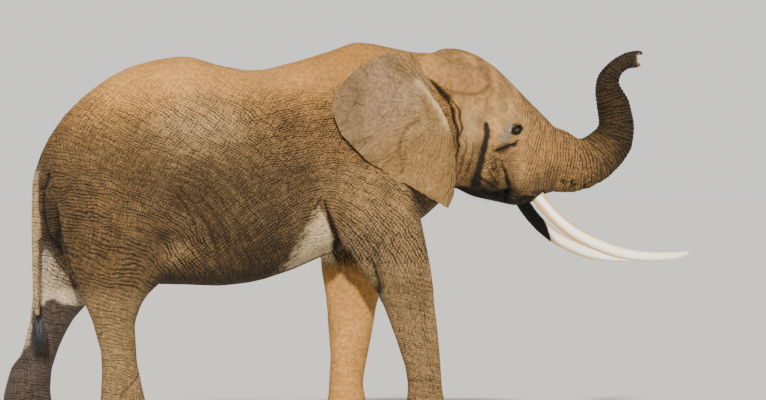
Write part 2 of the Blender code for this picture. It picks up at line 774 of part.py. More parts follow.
def build():
    clear_scene()
    body = flesh()
    body.name = "barrel"
    for side in (RIGHT, LEFT):
        name = SIDE_NAMES[side]
        middle = eye_middle(body, side)
        eye = mass(f"eye_{name}", middle, (EYE_RADIUS,) * 3, 0, segments=10)
        seat(eye, mass("socket", middle, (EYE_RADIUS + GAP,) * 3, 0, segments=10), body)
        tooth = turned(tusk(f"tusk_{name}", side))
        seat(tooth, grown(tooth, 2 * GAP), body)
        flap, skin = ear(side), grown(body, GAP)
        boolean(flap, skin, "DIFFERENCE")
        bpy.data.objects.remove(skin)
    limbs = part_limbs(body)
    for side in (RIGHT, LEFT):
        for kind, bearings, girth in (("fore", FORE_NAILS, FORE_GIRTH), ("hind", HIND_NAILS, HIND_GIRTH)):
            foot = limbs[f"{kind}foot_{SIDE_NAMES[side]}"]
            for number, bearing in enumerate(bearings, start=1):
                place = (foot_middle(kind, side), *girth[TOE_ROW][1:], bearing)
                name = f"nail_{kind}_{SIDE_NAMES[side]}_{number}"
                seat(nail(name, *place), nail("socket", *place, room=GAP), foot)
    body, neck = part_at(body, "neck", (0.60, 0, 2.4), (1, 0, 0.25))
    neck, head = part_at(neck, "head", (0.90, 0, 2.5), turned_way((1, 0, 0.10)))
    head = part_trunk(head)
    part_by(head, "lower_jaw", jaw_cutter())
    part_by(body, "tail_base", upright_box((-2.8, -0.10, 0.9), (-2.41, 0.10, 2.15)))
    body, rump = part_at(body, "rump", (-1.27, 0, 2.0), (-1, 0, 0))
    body, chest = part_at(body, "chest", (-0.12, 0, 2.0), (1, 0, 0))
    midplane_tube("tail_tassel", TASSEL, points=8, steps=2)
    model = bpy.data.collections.new("African_elephant_bull")
    bpy.context.scene.collection.children.link(model)
    pieces = list(bpy.context.scene.collection.objects)
    for obj in pieces:
        dress(obj)
        model.objects.link(obj)
        bpy.context.scene.collection.objects.unlink(obj)
    set_on_origin(pieces)


build()
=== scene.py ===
"""The looks of a life-size African bush elephant bull: wrinkled hide, eyes, tusks, nails and hair."""

import math

import bmesh
import bpy
import numpy as np
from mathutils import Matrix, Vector
from mathutils.bvhtree import BVHTree
from mathutils.kdtree import KDTree


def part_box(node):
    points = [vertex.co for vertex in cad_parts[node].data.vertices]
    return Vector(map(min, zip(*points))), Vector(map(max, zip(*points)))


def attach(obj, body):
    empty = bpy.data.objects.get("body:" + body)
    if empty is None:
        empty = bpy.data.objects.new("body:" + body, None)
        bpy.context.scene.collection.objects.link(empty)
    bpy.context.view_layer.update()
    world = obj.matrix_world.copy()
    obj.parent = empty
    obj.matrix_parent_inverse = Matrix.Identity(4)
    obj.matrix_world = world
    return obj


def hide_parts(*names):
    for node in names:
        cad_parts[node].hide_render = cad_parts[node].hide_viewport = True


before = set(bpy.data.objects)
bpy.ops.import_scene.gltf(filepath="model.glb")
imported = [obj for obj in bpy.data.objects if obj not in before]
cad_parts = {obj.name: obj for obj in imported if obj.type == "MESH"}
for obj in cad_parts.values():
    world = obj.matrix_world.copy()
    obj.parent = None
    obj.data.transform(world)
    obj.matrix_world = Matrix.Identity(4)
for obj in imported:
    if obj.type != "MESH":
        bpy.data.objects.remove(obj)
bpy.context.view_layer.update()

SIDES = (("right", -1), ("left", 1))
SEAM = 0.0012  # faces this near another piece are the walls of a cut
WELD = 0.0015
CLOSE = 0.01  # pieces whose boxes are further apart than twice this don't touch
GRID = 0.012  # spacing of the hide's mesh
SPARE = 0.006  # thin pieces are thickened by this while the hide is meshed
MIDDLE = (0.101, 0.0011)  # the body's own origin seen from the model's
NECK_X, HEAD_TURN = 0.65, math.radians(8.0)  # the head is turned to the left about this X

CAMERA_WAY = math.radians(-6.0)
CAMERA_FAR = 45.0
CAMERA_AIM = (0.294, 0.0, 1.902)
CAMERA_LENS = 258.0


# ---------------------------------------------------------------- numbers

def rise(values, low, high):
    part = np.clip((np.asarray(values, float) - low) / (high - low), 0.0, 1.0)
    return part * part * (3.0 - 2.0 * part)


def bell(values, middle, width):
    return np.exp(-((np.asarray(values, float) - middle) / width) ** 2)


def hashed(cells, seed):
    """A repeatable number from -1 to 1 for each whole-number place."""
    a, b, c = (cells[..., k].astype(np.int64) for k in range(3))
    mixed = (a * 73856093) ^ (b * 19349663) ^ (c * 83492791) ^ (seed * 2654435761)
    mixed = (mixed ^ (mixed >> 13)) * 1274126177
    return ((mixed ^ (mixed >> 16)) & 0xFFFF) / 32767.5 - 1.0


def value_noise(places, size, seed):
    """Smooth noise from -1 to 1 whose bumps are about this size."""
    scaled = places / size
    base = np.floor(scaled)
    part = scaled - base
    part = part * part * (3.0 - 2.0 * part)
    total = np.zeros(len(places))
    for corner in np.ndindex(2, 2, 2):
        total += np.abs(1 - np.array(corner) - part).prod(axis=1) * hashed(base + corner, seed)
    return total


def layered_noise(places, size, seed, layers=3):
    total, scale = np.zeros(len(places)), 1.0
    for layer in range(layers):
        total += scale * value_noise(places, size, seed + layer)
        size, scale = size / 2.0, scale / 2.0
    return total


# ---------------------------------------------------------------- meshes as arrays

def column(items, key, kind=float, width=1):
    """One property of all items of a mesh's list, as an array."""
    values = np.empty(len(items) * width, kind)
    items.foreach_get(key, values)
    return values.reshape(-1, width) if width > 1 else values


def arrays_of(mesh):
    mesh.calc_loop_triangles()
    return column(mesh.vertices, "co", float, 3), column(mesh.loop_triangles, "vertices", np.int32, 3)


def tree_of(places, faces):
    return BVHTree.FromPolygons(places.tolist(), faces.tolist())


def mesh_of(name, places, faces):
    mesh = bpy.data.meshes.new(name)
    mesh.from_pydata(np.asarray(places).tolist(), [], np.asarray(faces).tolist())
    mesh.update()
    return mesh


def shown(name, mesh):
    obj = bpy.data.objects.new(name, mesh)
    bpy.context.scene.collection.objects.link(obj)
    return obj


def evaluated(obj):
    """The object's mesh with its modifiers applied, as a new mesh."""
    graph = bpy.context.evaluated_depsgraph_get()
    return bpy.data.meshes.new_from_object(obj.evaluated_get(graph))


def smooth_shaded(mesh):
    mesh.polygons.foreach_set("use_smooth", np.ones(len(mesh.polygons), bool))
    mesh.update()


class Net:
    """A mesh's places and the links between them."""

    def __init__(self, mesh):
        self.mesh = mesh
        self.count = len(mesh.vertices)
        self.places = column(mesh.vertices, "co", float, 3)
        links = column(mesh.edges, "vertices", np.int32, 2)
        self.one, self.two = links.T
        self.degree = np.maximum(np.bincount(links.ravel(), minlength=self.count), 1)

    def averaged(self, values):
        """The mean of each vertex's neighbours."""
        if values.ndim == 2:
            return np.stack([self.averaged(values[:, k]) for k in range(values.shape[1])], axis=1)
        total = np.bincount(self.one, weights=values[self.two], minlength=self.count)
        total += np.bincount(self.two, weights=values[self.one], minlength=self.count)
        return total / self.degree

    def smoothed(self, values, rounds, strength=0.6):
        strength = np.asarray(strength, float)
        if values.ndim == 2 and strength.ndim == 1:
            strength = strength[:, None]
        for _ in range(rounds):
            values = values + strength * (self.averaged(values) - values)
        return values

    def eased(self, rounds, strength):
        """Smooths the places without drawing thin forms in."""
        for _ in range(rounds):
            self.places = self.smoothed(self.places, 1, strength)
            self.places = self.smoothed(self.places, 1, -1.03 * strength)

    def softened(self, rounds, strength=0.6, share=1.0):
        """Smooths facets away and puts back the bulk that this takes off round forms."""
        facets = self.places.copy()
        self.places = self.smoothed(self.places, rounds, strength)
        outward = self.normals()
        lost = self.smoothed(((facets - self.places) * outward).sum(axis=1), rounds)
        self.places += outward * (lost * share)[:, None]

    def stored(self):
        self.mesh.vertices.foreach_set("co", self.places.ravel())
        self.mesh.update()

    def normals(self):
        self.stored()
        return column(self.mesh.vertex_normals, "vector", float, 3)


# ---------------------------------------------------------------- the flesh as one surface

PARTS = sorted(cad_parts)
FLESH = [n for n in PARTS if not n.startswith(("eye_", "tusk_", "nail_")) and n != "tail_tassel"]
FILLING = [n for n in PARTS if n.startswith(("eye_", "nail_"))]  # these close their sockets in the hide
THIN = ("ear_left", "ear_right")


def on_another(places, faces, tree):
    """Marks the faces that lie against another piece."""
    corners = places[faces]
    middle = corners.mean(axis=1)
    found = np.ones(len(faces), bool)
    for probe in (middle, *(corners[:, k] * 0.9 + middle * 0.1 for k in range(3))):
        for index in np.flatnonzero(found):
            found[index] = tree.find_nearest(probe[index], SEAM)[0] is not None
    return found


def joined_flesh():
    """The flesh without the walls of its cuts: places, faces and which of FLESH each face comes from."""
    pieces = {name: arrays_of(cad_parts[name].data) for name in FLESH + FILLING}
    trees = {name: tree_of(*pieces[name]) for name in pieces}
    lows = {name: places.min(axis=0) - CLOSE for name, (places, _) in pieces.items()}
    highs = {name: places.max(axis=0) + CLOSE for name, (places, _) in pieces.items()}
    all_places, all_faces, owners, base = [], [], [], 0
    for number, name in enumerate(FLESH + FILLING):
        places, faces = pieces[name]
        walls = np.zeros(len(faces), bool)
        for other in pieces:
            apart = (lows[name] > highs[other]).any() or (lows[other] > highs[name]).any()
            if other == name or apart:
                continue
            left = np.flatnonzero(~walls)
            walls[left] = on_another(places, faces[left], trees[other])
        kept = faces[~walls]
        all_places.append(places)
        all_faces.append(kept + base)
        owners.append(np.full(len(kept), number))
        base += len(places)
    return np.vstack(all_places), np.vstack(all_faces), np.concatenate(owners)


def meshed_flesh(places, faces, owners):
    """An even mesh over the joined flesh."""
    mesh = mesh_of("flesh", places, faces)
    bm = bmesh.new()
    bm.from_mesh(mesh)
    thin = bm.verts.layers.deform.verify()
    bm.verts.ensure_lookup_table()
    ears = {FLESH.index(name) for name in THIN}
    for face, owner in zip(bm.faces, owners):
        if owner in ears:
            for vert in face.verts:
                vert[thin][0] = 1.0
    bmesh.ops.remove_doubles(bm, verts=bm.verts, dist=WELD)
    loose = [vert for vert in bm.verts if not vert.link_faces]
    bmesh.ops.delete(bm, geom=loose, context="VERTS")
    open_edges = [edge for edge in bm.edges if edge.is_boundary]
    bmesh.ops.holes_fill(bm, edges=open_edges, sides=0)
    bmesh.ops.recalc_face_normals(bm, faces=bm.faces)
    bm.to_mesh(mesh)
    bm.free()
    obj = shown("flesh", mesh)
    obj.vertex_groups.new(name="thin")
    thicker = obj.modifiers.new("thicker", "DISPLACE")
    thicker.vertex_group, thicker.strength, thicker.mid_level = "thin", SPARE, 0.0
    even = obj.modifiers.new("even", "REMESH")
    even.mode, even.voxel_size = "VOXEL", GRID
    made = evaluated(obj)
    bpy.data.objects.remove(obj)
    return made


def owner_of_each(net, places, faces, owners):
    """Which of FLESH each vertex of the hide lies on."""
    tree = tree_of(places, faces)
    names = np.empty(net.count, np.int32)
    find = tree.find_nearest
    for number, place in enumerate(net.places.tolist()):
        names[number] = owners[find(place)[2]]
    return names


# ---------------------------------------------------------------- the lie of the creases

# Where a line of creases runs: X and Z of the place and how steeply it falls towards the head, in degrees
FLANK_LIE = (
    (-2.08, 2.64, 40), (-1.90, 2.49, 58), (-1.68, 2.25, 45), (-1.47, 1.97, 20), (-1.36, 1.78, 48),
    (-1.24, 1.45, 68), (-1.68, 2.64, 34), (-1.44, 2.48, 32), (-1.23, 2.35, 30), (-1.03, 2.19, 36),
    (-2.42, 1.90, -28), (-2.26, 1.97, -12), (-2.10, 1.93, -4), (-1.85, 1.86, 5), (-1.60, 1.92, 0),
    (-2.36, 2.10, -35), (-2.18, 1.49, 38), (-1.93, 1.39, 34), (-1.68, 1.45, 20), (-1.03, 1.90, 52),
    (-0.86, 1.66, 66), (-0.95, 1.41, 76), (-1.15, 1.39, 74), (-0.70, 1.90, 52), (-0.62, 2.31, 40),
    (-0.45, 2.07, 46), (-0.2, 2.6, 40), (0.2, 2.3, 50), (-1.83, 1.0, 24), (-1.83, 0.7, -12),
    (-1.80, 0.3, -4), (-2.45, 0.9, 20), (-2.5, 0.4, 0), (0.45, 1.1, 8), (0.55, 0.7, 28), (0.62, 0.3, 4),
    (0.05, 1.0, -18), (0.05, 0.4, 0), (0.15, 1.75, 30), (0.35, 1.55, 38),
)
SHOULDER_LIE = (
    (-0.86, 2.48, -34), (-0.62, 2.23, -44), (-0.45, 1.98, -54), (-0.33, 1.78, -60), (-0.25, 1.98, -64),
    (-0.54, 1.66, -60), (-0.78, 1.49, -70), (-1.60, 1.60, -35), (-1.9, 1.6, -30), (-2.2, 1.7, -25),
    (-0.12, 1.94, 28), (0.04, 1.86, 34), (0.20, 1.70, 50), (0.25, 1.41, 68), (-0.04, 1.70, 26),
    (0.37, 1.74, 36), (0.53, 1.49, 58), (0.2, 2.2, 10), (-0.2, 2.5, -40), (-0.5, 2.7, -40),
    (0.5, 1.0, 75), (0.0, 0.9, 80), (-1.8, 0.8, 80), (-2.4, 0.8, 80),
)
LIE_REACH = 0.20
CELL = 0.04
PLANE_LOW = (-3.0, -0.1)
PLANE_CELLS = (156, 86)
FITTING_ROUNDS = 40
SPACING_FREEDOM = (0.85, 1.8)


def crease_phase(lie, spacing, turn=0.0):
    """A grid over the side view whose whole numbers run along creases of this lie and about this spacing."""
    wide, high = PLANE_CELLS
    across = PLANE_LOW[0] + CELL * np.arange(wide)
    up = PLANE_LOW[1] + CELL * np.arange(high)
    xs, zs = np.meshgrid(across, up, indexing="ij")
    way_x, way_z = np.zeros_like(xs), np.zeros_like(xs)
    for place_x, place_z, fall in lie:
        angle = math.radians(fall + turn)
        apart = (xs - place_x) ** 2 + (zs - place_z) ** 2
        near = np.exp(-apart / (2 * LIE_REACH**2)) + 1e-6 / (apart + 0.01)
        way_x += near * math.sin(angle)
        way_z += near * math.cos(angle)
    size = np.maximum(np.hypot(way_x, way_z), 1e-12)
    way_x, way_z = way_x / size, way_z / size
    closeness = np.full_like(xs, 1 / spacing)
    for _ in range(FITTING_ROUNDS):
        grid = climbed(way_x * closeness, way_z * closeness)
        slope_x, slope_z = np.gradient(grid, CELL)
        closeness = np.clip(slope_x * way_x + slope_z * way_z, *(k / spacing for k in SPACING_FREEDOM))
    return grid


def climbed(slope_x, slope_z):
    """The grid whose slopes come nearest to these, from a row of cosine waves each way."""
    wide, high = PLANE_CELLS
    step_x = (slope_x[1:] + slope_x[:-1]) / 2 * CELL
    step_z = (slope_z[:, 1:] + slope_z[:, :-1]) / 2 * CELL
    source = np.zeros_like(slope_x)
    source[:-1] += step_x
    source[1:] -= step_x
    source[:, :-1] += step_z
    source[:, 1:] -= step_z
    turn_x, turn_z = waves(wide), waves(high)
    along, up = (2 - 2 * np.cos(np.pi * np.arange(count) / count) for count in PLANE_CELLS)
    strength = along[:, None] + up[None, :]
    strength[0, 0] = 1.0
    parts = turn_x @ source @ turn_z.T / -strength
    parts[0, 0] = 0.0
    return turn_x.T @ parts @ turn_z


def waves(count):
    """The orthonormal cosine waves of a row of this many cells."""
    k, n = np.arange(count)[:, None], np.arange(count)[None, :]
    table = np.cos(np.pi * k * (n + 0.5) / count) * math.sqrt(2 / count)
    table[0] /= math.sqrt(2)
    return table


def sampled(grid, x, z):
    a = np.clip((x - PLANE_LOW[0]) / CELL, 0, PLANE_CELLS[0] - 1.001)
    b = np.clip((z - PLANE_LOW[1]) / CELL, 0, PLANE_CELLS[1] - 1.001)
    i, j = a.astype(int), b.astype(int)
    a, b = a - i, b - j
    return (
        grid[i, j] * (1 - a) * (1 - b) + grid[i + 1, j] * a * (1 - b)
        + grid[i, j + 1] * (1 - a) * b + grid[i + 1, j + 1] * a * b
    )


# ---------------------------------------------------------------- named places

# The trunk's middle line from inside the head to its tip
TRUNK_LINE = np.array((
    (0.90, 0.045, 2.54), (1.21, 0.09, 2.40), (1.522, 0.136, 2.27), (1.733, 0.165, 2.23),
    (1.904, 0.189, 2.197), (2.068, 0.212, 2.242), (2.223, 0.234, 2.385), (2.262, 0.240, 2.525),
    (2.232, 0.236, 2.69), (2.190, 0.230, 2.815), (2.192, 0.230, 2.905), (2.241, 0.237, 2.98),
    (2.304, 0.246, 3.034), (2.374, 0.256, 3.068), (2.437, 0.264, 3.072),
))
EYE_RADIUS = 0.032

# Creases: the line on the side plane, half width at its start and end, depth and darkness
HEAD_CREASES = {
    "ear_gap": (((0.675, 2.89), (0.743, 2.828), (0.802, 2.762), (0.868, 2.700)), 0.007, 0.026, 0.030, 1.0),
    "ear_gap_back": (((0.853, 2.705), (0.886, 2.615), (0.912, 2.508), (0.929, 2.393), (0.929, 2.31)),
                     0.015, 0.008, 0.028, 1.0),
    "ear_gap_front": (((0.895, 2.697), (0.937, 2.623), (0.954, 2.525), (0.937, 2.434), (0.929, 2.377)),
                      0.012, 0.007, 0.016, 0.9),
    "ear_edge": (((0.929, 2.352), (0.929, 2.148), (0.929, 2.016)), 0.008, 0.012, 0.014, 0.7),
    "temple_edge": (((0.777, 2.803), (0.861, 2.746), (0.962, 2.730), (1.064, 2.730), (1.131, 2.697),
                     (1.233, 2.672)), 0.032, 0.026, 0.007, 0.12),
    "eye_pocket": (((1.450, 2.395), (1.384, 2.350), (1.308, 2.315), (1.240, 2.298)),
                   0.008, 0.034, 0.022, 1.0),
    "temple_fold": (((0.82, 2.80), (0.91, 2.765), (1.02, 2.745), (1.13, 2.775), (1.21, 2.84)),
                    0.020, 0.020, 0.010, 0.30),
    "neck_fold": (((0.990, 2.43), (0.985, 2.30), (0.978, 2.14), (0.975, 2.06)), 0.008, 0.010, 0.010, 0.55),
    "neck_fold_second": (((1.045, 2.36), (1.04, 2.22), (1.03, 2.09)), 0.007, 0.009, 0.010, 0.50),
    "eye_back": (((1.195, 2.340), (1.240, 2.338), (1.285, 2.352)), 0.006, 0.005, 0.005, 0.5),
    "mouth": (((1.300, 2.195), (1.347, 2.123), (1.372, 2.049), (1.397, 1.984), (1.414, 1.902), (1.42, 1.86)),
              0.010, 0.024, 0.030, 1.0),
    "cheek_high": (((1.213, 2.270), (1.255, 2.189), (1.289, 2.098)), 0.006, 0.010, 0.007, 0.55),
    "cheek_low": (((1.179, 2.164), (1.230, 2.082), (1.289, 2.016)), 0.006, 0.012, 0.008, 0.7),
    "cheek_back": (((1.10, 2.10), (1.17, 2.05), (1.26, 1.99), (1.33, 1.95)), 0.008, 0.016, 0.010, 0.8),
    "lip_corner": (((1.36, 2.16), (1.40, 2.10), (1.425, 2.02)), 0.005, 0.007, 0.004, 0.35),
    "lip_under": (((1.40, 1.95), (1.431, 1.943), (1.583, 1.920), (1.718, 1.960), (1.795, 1.950)),
                  0.008, 0.012, 0.010, 0.95),
    "jaw_fold": (((0.95, 2.02), (1.05, 1.99), (1.17, 1.94), (1.30, 1.88)), 0.012, 0.016, 0.012, 0.8),
}
BODY_CREASES = {
    "tail_side": (((-2.39, 2.00), (-2.395, 1.82), (-2.375, 1.672), (-2.335, 1.607), (-2.300, 1.549),
                   (-2.26, 1.443), (-2.20, 1.328), (-2.15, 1.246)), 0.016, 0.022, 0.030, 1.0),
    "tail_root": (((-2.353, 2.148), (-2.369, 2.066), (-2.402, 1.984)), 0.010, 0.014, 0.016, 0.9),
    "thigh_back": (((-2.287, 1.861), (-2.287, 1.738), (-2.279, 1.615), (-2.254, 1.492), (-2.221, 1.393),
                    (-2.188, 1.287), (-2.139, 1.082)), 0.014, 0.036, 0.034, 1.0),
    "armpit": (((-0.152, 1.902), (-0.110, 1.779), (-0.053, 1.615), (0.013, 1.426)), 0.010, 0.030, 0.030, 1.0),
    "armpit_stroke": (((-0.292, 1.754), (-0.234, 1.836), (-0.176, 1.934)), 0.006, 0.014, 0.010, 0.6),
    "armpit_second": (((-0.33, 1.80), (-0.27, 1.88), (-0.215, 1.99)), 0.005, 0.008, 0.006, 0.4),
    "elbow": (((0.025, 1.779), (0.165, 1.639), (0.264, 1.492), (0.313, 1.328), (0.338, 1.123)),
              0.006, 0.014, 0.010, 0.5),
    "elbow_back": (((0.20, 1.47), (0.272, 1.369), (0.297, 1.246), (0.321, 1.082)), 0.008, 0.016, 0.018, 0.9),
    "groin_one": (((-1.38, 2.00), (-1.28, 1.86), (-1.20, 1.70), (-1.15, 1.52)), 0.006, 0.010, 0.008, 0.5),
    "groin_two": (((-1.34, 2.02), (-1.19, 1.84), (-1.08, 1.66), (-1.02, 1.50)), 0.006, 0.010, 0.008, 0.5),
    "groin_three": (((-1.25, 2.02), (-1.08, 1.85), (-0.97, 1.68), (-0.92, 1.52)), 0.006, 0.010, 0.006, 0.4),
    "knee": (((-1.99, 0.80), (-1.90, 0.85), (-1.76, 0.87)), 0.008, 0.005, 0.007, 0.5),
    "ankle": (((-1.80, 0.30), (-1.70, 0.42), (-1.62, 0.50)), 0.010, 0.006, 0.007, 0.7),
    "wrist": (((0.42, 0.46), (0.56, 0.43), (0.78, 0.45)), 0.010, 0.010, 0.006, 0.45),
}
# Swells and hollows: middle, long and short reach, how steeply the long way falls, and height
HEAD_SWELLS = (
    ((0.946, 2.869), 0.22, 0.13, 12, 0.012), ((1.047, 2.50), 0.13, 0.11, 0, -0.012),
    ((1.343, 2.630), 0.11, 0.045, 10, 0.008), ((1.482, 2.107), 0.17, 0.13, 70, 0.010),
    ((1.25, 2.42), 0.07, 0.05, 0, 0.006), ((1.24, 2.65), 0.05, 0.04, 0, 0.006),
)
BODY_SWELLS = (
    ((-1.65, 2.44), 0.26, 0.09, 60, -0.016), ((-1.45, 1.60), 0.12, 0.08, 50, -0.018),
    ((-1.34, 1.48), 0.10, 0.07, 30, 0.010), ((-1.95, 2.52), 0.24, 0.15, 40, 0.014),
    ((-1.22, 1.80), 0.34, 0.06, 62, -0.008), ((-1.05, 1.78), 0.34, 0.07, 60, 0.005),
    ((-1.95, 1.65), 0.35, 0.26, 80, 0.014), ((-0.70, 1.50), 0.35, 0.15, 10, -0.008),
    ((0.10, 1.98), 0.30, 0.16, 40, 0.012), ((0.40, 1.52), 0.22, 0.10, 70, -0.008),
    ((0.52, 1.22), 0.26, 0.09, 80, 0.010), ((-2.37, 1.75), 0.30, 0.05, 84, 0.010),
)


def line_distance(across, up, line):
    """How far each place lies from a line drawn through these points, and how far along it, from 0 to 1."""
    ends = np.asarray(line, float)
    lengths = np.hypot(*np.diff(ends, axis=0).T)
    starts = np.concatenate([[0], np.cumsum(lengths)]) / lengths.sum()
    best, along = np.full(len(across), 1e9), np.zeros(len(across))
    for k, ((x0, z0), (x1, z1)) in enumerate(zip(ends, ends[1:])):
        wide, high = x1 - x0, z1 - z0
        part = np.clip(((across - x0) * wide + (up - z0) * high) / (wide**2 + high**2), 0, 1)
        apart = np.hypot(across - x0 - part * wide, up - z0 - part * high)
        along = np.where(apart < best, starts[k] + part * (starts[k + 1] - starts[k]), along)
        best = np.minimum(best, apart)
    return best, along


# ---------------------------------------------------------------- build the hide

flesh_places, flesh_faces, flesh_owners = joined_flesh()
hide_mesh = meshed_flesh(flesh_places, flesh_faces, flesh_owners)
net = Net(hide_mesh)
owner = owner_of_each(net, flesh_places, flesh_faces, flesh_owners)


HIDE_ROUNDS, LIMB_ROUNDS = 40, 160
# How strongly the facets of these parts are smoothed; the torso gets 0.70
SOFTNESS = {"legs": 0.42, "head": 0.26, "trunk": 0.30, "ear": 0.20, "tail": 0.05}


def part_mask(*starts, rounds=8):
    """1 on the named parts and 0 elsewhere, with a soft border."""
    numbers = [k for k, n in enumerate(FLESH + FILLING) if n.startswith(starts)]
    return net.smoothed(np.isin(owner, numbers).astype(float), rounds)


masks = {
    "ear": part_mask("ear_"),
    "tail": part_mask("tail_base"),
    "trunk": part_mask("trunk_"),
    "head": part_mask("head", "lower_jaw", "eye_"),
    "legs": part_mask("foreleg", "hindleg", "forefoot", "hindfoot", "nail_"),
    "nails": part_mask("nail_", rounds=1),
}
masks["limb"] = net.smoothed(masks["legs"], LIMB_ROUNDS)
softness = 0.70 * (1 - np.clip(sum(masks[name] for name in SOFTNESS), 0, 1))
softness += sum(share * masks[name] for name, share in SOFTNESS.items())
net.softened(HIDE_ROUNDS, softness, 1 - masks["ear"])
net.eased(6, 0.5 - 0.3 * (masks["trunk"] + masks["tail"]))
net.places -= net.normals() * (SPARE * masks["ear"])[:, None]

EYE_REACHES = (0.085, 0.060)
eyes = {side: sum(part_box(f"eye_{side}"), Vector()) / 2 for side, _ in SIDES}


def refined(mesh, masks):
    """A finer mesh on the head and the trunk, and finer still round the eyes."""
    for name, values in masks.items():
        mesh.attributes.new(name, "FLOAT", "POINT").data.foreach_set("value", values.astype(np.float32))
    bm = bmesh.new()
    bm.from_mesh(mesh)
    on_head, on_trunk = (bm.verts.layers.float[name] for name in ("head", "trunk"))
    chosen = [e for e in bm.edges if all(v[on_head] + v[on_trunk] > 0.5 for v in e.verts)]
    bmesh.ops.subdivide_edges(bm, edges=chosen, cuts=1, use_grid_fill=True)
    for reach in EYE_REACHES:
        chosen = [e for e in bm.edges if any((e.verts[0].co - eye).length < reach for eye in eyes.values())]
        bmesh.ops.subdivide_edges(bm, edges=chosen, cuts=1, use_grid_fill=True)
    bmesh.ops.triangulate(bm, faces=[f for f in bm.faces if len(f.verts) > 4])
    bm.to_mesh(mesh)
    bm.free()


net.stored()
refined(hide_mesh, masks)
net = Net(hide_mesh)
for name in masks:
    layer = hide_mesh.attributes[name]
    masks[name] = column(layer.data, "value", np.float32).astype(float)
    hide_mesh.attributes.remove(layer)
ear, tail, trunk, head, legs, limb = (masks[k] for k in ("ear", "tail", "trunk", "head", "legs", "limb"))
torso = np.clip(1 - ear - tail - trunk - head - legs, 0, 1)
torso_legs = np.clip(torso + legs, 0, 1)
net.eased(2, 0.5 * np.clip(head + trunk, 0, 1))

body = net.places + (*MIDDLE, 0.0)
# -1 on the right of the middle plane, which bends to the left along the neck and head, and 1 on the left
side_of = np.where(net.places[:, 1] - 0.14 * np.clip(net.places[:, 0] - 0.55, 0, 3) < 0, -1.0, 1.0)
turned_x, turned_y = body[:, 0] - NECK_X, body[:, 1]
head_x = NECK_X + math.cos(HEAD_TURN) * turned_x + math.sin(HEAD_TURN) * turned_y
head_y = math.cos(HEAD_TURN) * turned_y - math.sin(HEAD_TURN) * turned_x
x, y, z = body.T
normals = net.normals()


def oval(across, middle, reach, height, tall):
    """A soft oval: 1 at its middle, fading over its reach across and its reach up."""
    return bell(across, middle, reach) * bell(z, height, tall)


def wedge(low, peak, right_low, right_peak, soft):
    """1 inside the wedge of hide between two leaning lines, below their upper ends."""
    share = (z - low[1]) / (peak[1] - low[1])
    left = low[0] + (peak[0] - low[0]) * share
    right = right_low[0] + (right_peak[0] - right_low[0]) * share
    stray = 0.04 * value_noise(net.places, 0.06, 61) + 0.03 * value_noise(net.places, 0.025, 62)
    inside = rise(x - left + stray, -soft[0], soft[0]) * rise(right - x, -soft[1], soft[1])
    return inside * rise(peak[1] - z + stray, -0.03, 0.03)


# ---------------------------------------------------------------- folds

sunk = np.zeros(net.count)
# dark holds painted shade for creases, folds and hollows, and the darkened lids round the eyes
dark = np.zeros(net.count)


def crease(across, where, line, start_width, end_width, depth, darkness):
    """Sinks a crease into the hide, raises its lips a little and paints shade into it."""
    low, high = np.min(line, axis=0) - 0.12, np.max(line, axis=0) + 0.12
    near = (across > low[0]) & (across < high[0]) & (z > low[1]) & (z < high[1]) & (where > 0.02)
    near = np.flatnonzero(near)
    wander = 0.010 * value_noise(net.places[near], 0.08, 5) + 0.005 * value_noise(net.places[near], 0.03, 6)
    away, along = line_distance(across[near] + wander, z[near] - wander, line)
    width = start_width + (end_width - start_width) * along
    width = width * (0.35 + 0.65 * rise(along, -0.02, 0.25) * rise(1.02 - along, 0, 0.16))
    width *= 1 + 0.25 * value_noise(net.places[near], 0.04, 8)
    away = away / width
    sunk[near] += where[near] * depth * (np.exp(-away**2) - 0.30 * np.exp(-(away - 2.2) ** 2))
    dark[near] = np.maximum(dark[near], where[near] * darkness * np.exp(-(away * 0.85) ** 3))


def swell(across, where, middle, long_reach, short_reach, fall, height):
    """Raises a soft oval of the hide, or hollows it out."""
    aside, above = across - middle[0], z - middle[1]
    way = math.radians(fall)
    along = (aside * math.cos(way) - above * math.sin(way)) / long_reach
    over = (aside * math.sin(way) + above * math.cos(way)) / short_reach
    sunk[:] -= where * height * np.exp(-(along**2 + over**2))


facing = rise(np.abs(normals[:, 1]), 0.15, 0.45)
head_part = np.clip(head + torso * (x > 0.5), 0, 1) * facing * (np.abs(head_y) > 0.05)
body_part = torso_legs * rise(np.abs(y), 0.08, 0.16)
body_part *= rise(normals[:, 1] * side_of, -0.2, 0.1)
for shape in HEAD_SWELLS:
    swell(head_x, head_part, *shape)
for shape in BODY_SWELLS:
    swell(x, body_part, *shape)
for shape in HEAD_CREASES.values():
    crease(head_x, head_part, *shape)
for shape in BODY_CREASES.values():
    crease(x, body_part, *shape)
cheek = head * facing * oval(head_x, 1.245, 0.062, 2.15, 0.13)
pucker = layered_noise(net.places * (1.0, 0.6, 1.3), 0.040, 53)
sunk += 0.016 * cheek * rise(np.abs(pucker), 0.0, 0.3)
# painted shade in the puckers' hollows
dark = np.maximum(dark, 0.9 * cheek * rise(np.abs(pucker), 0.16, 0.42))


# ---------------------------------------------------------------- creases that follow the lie

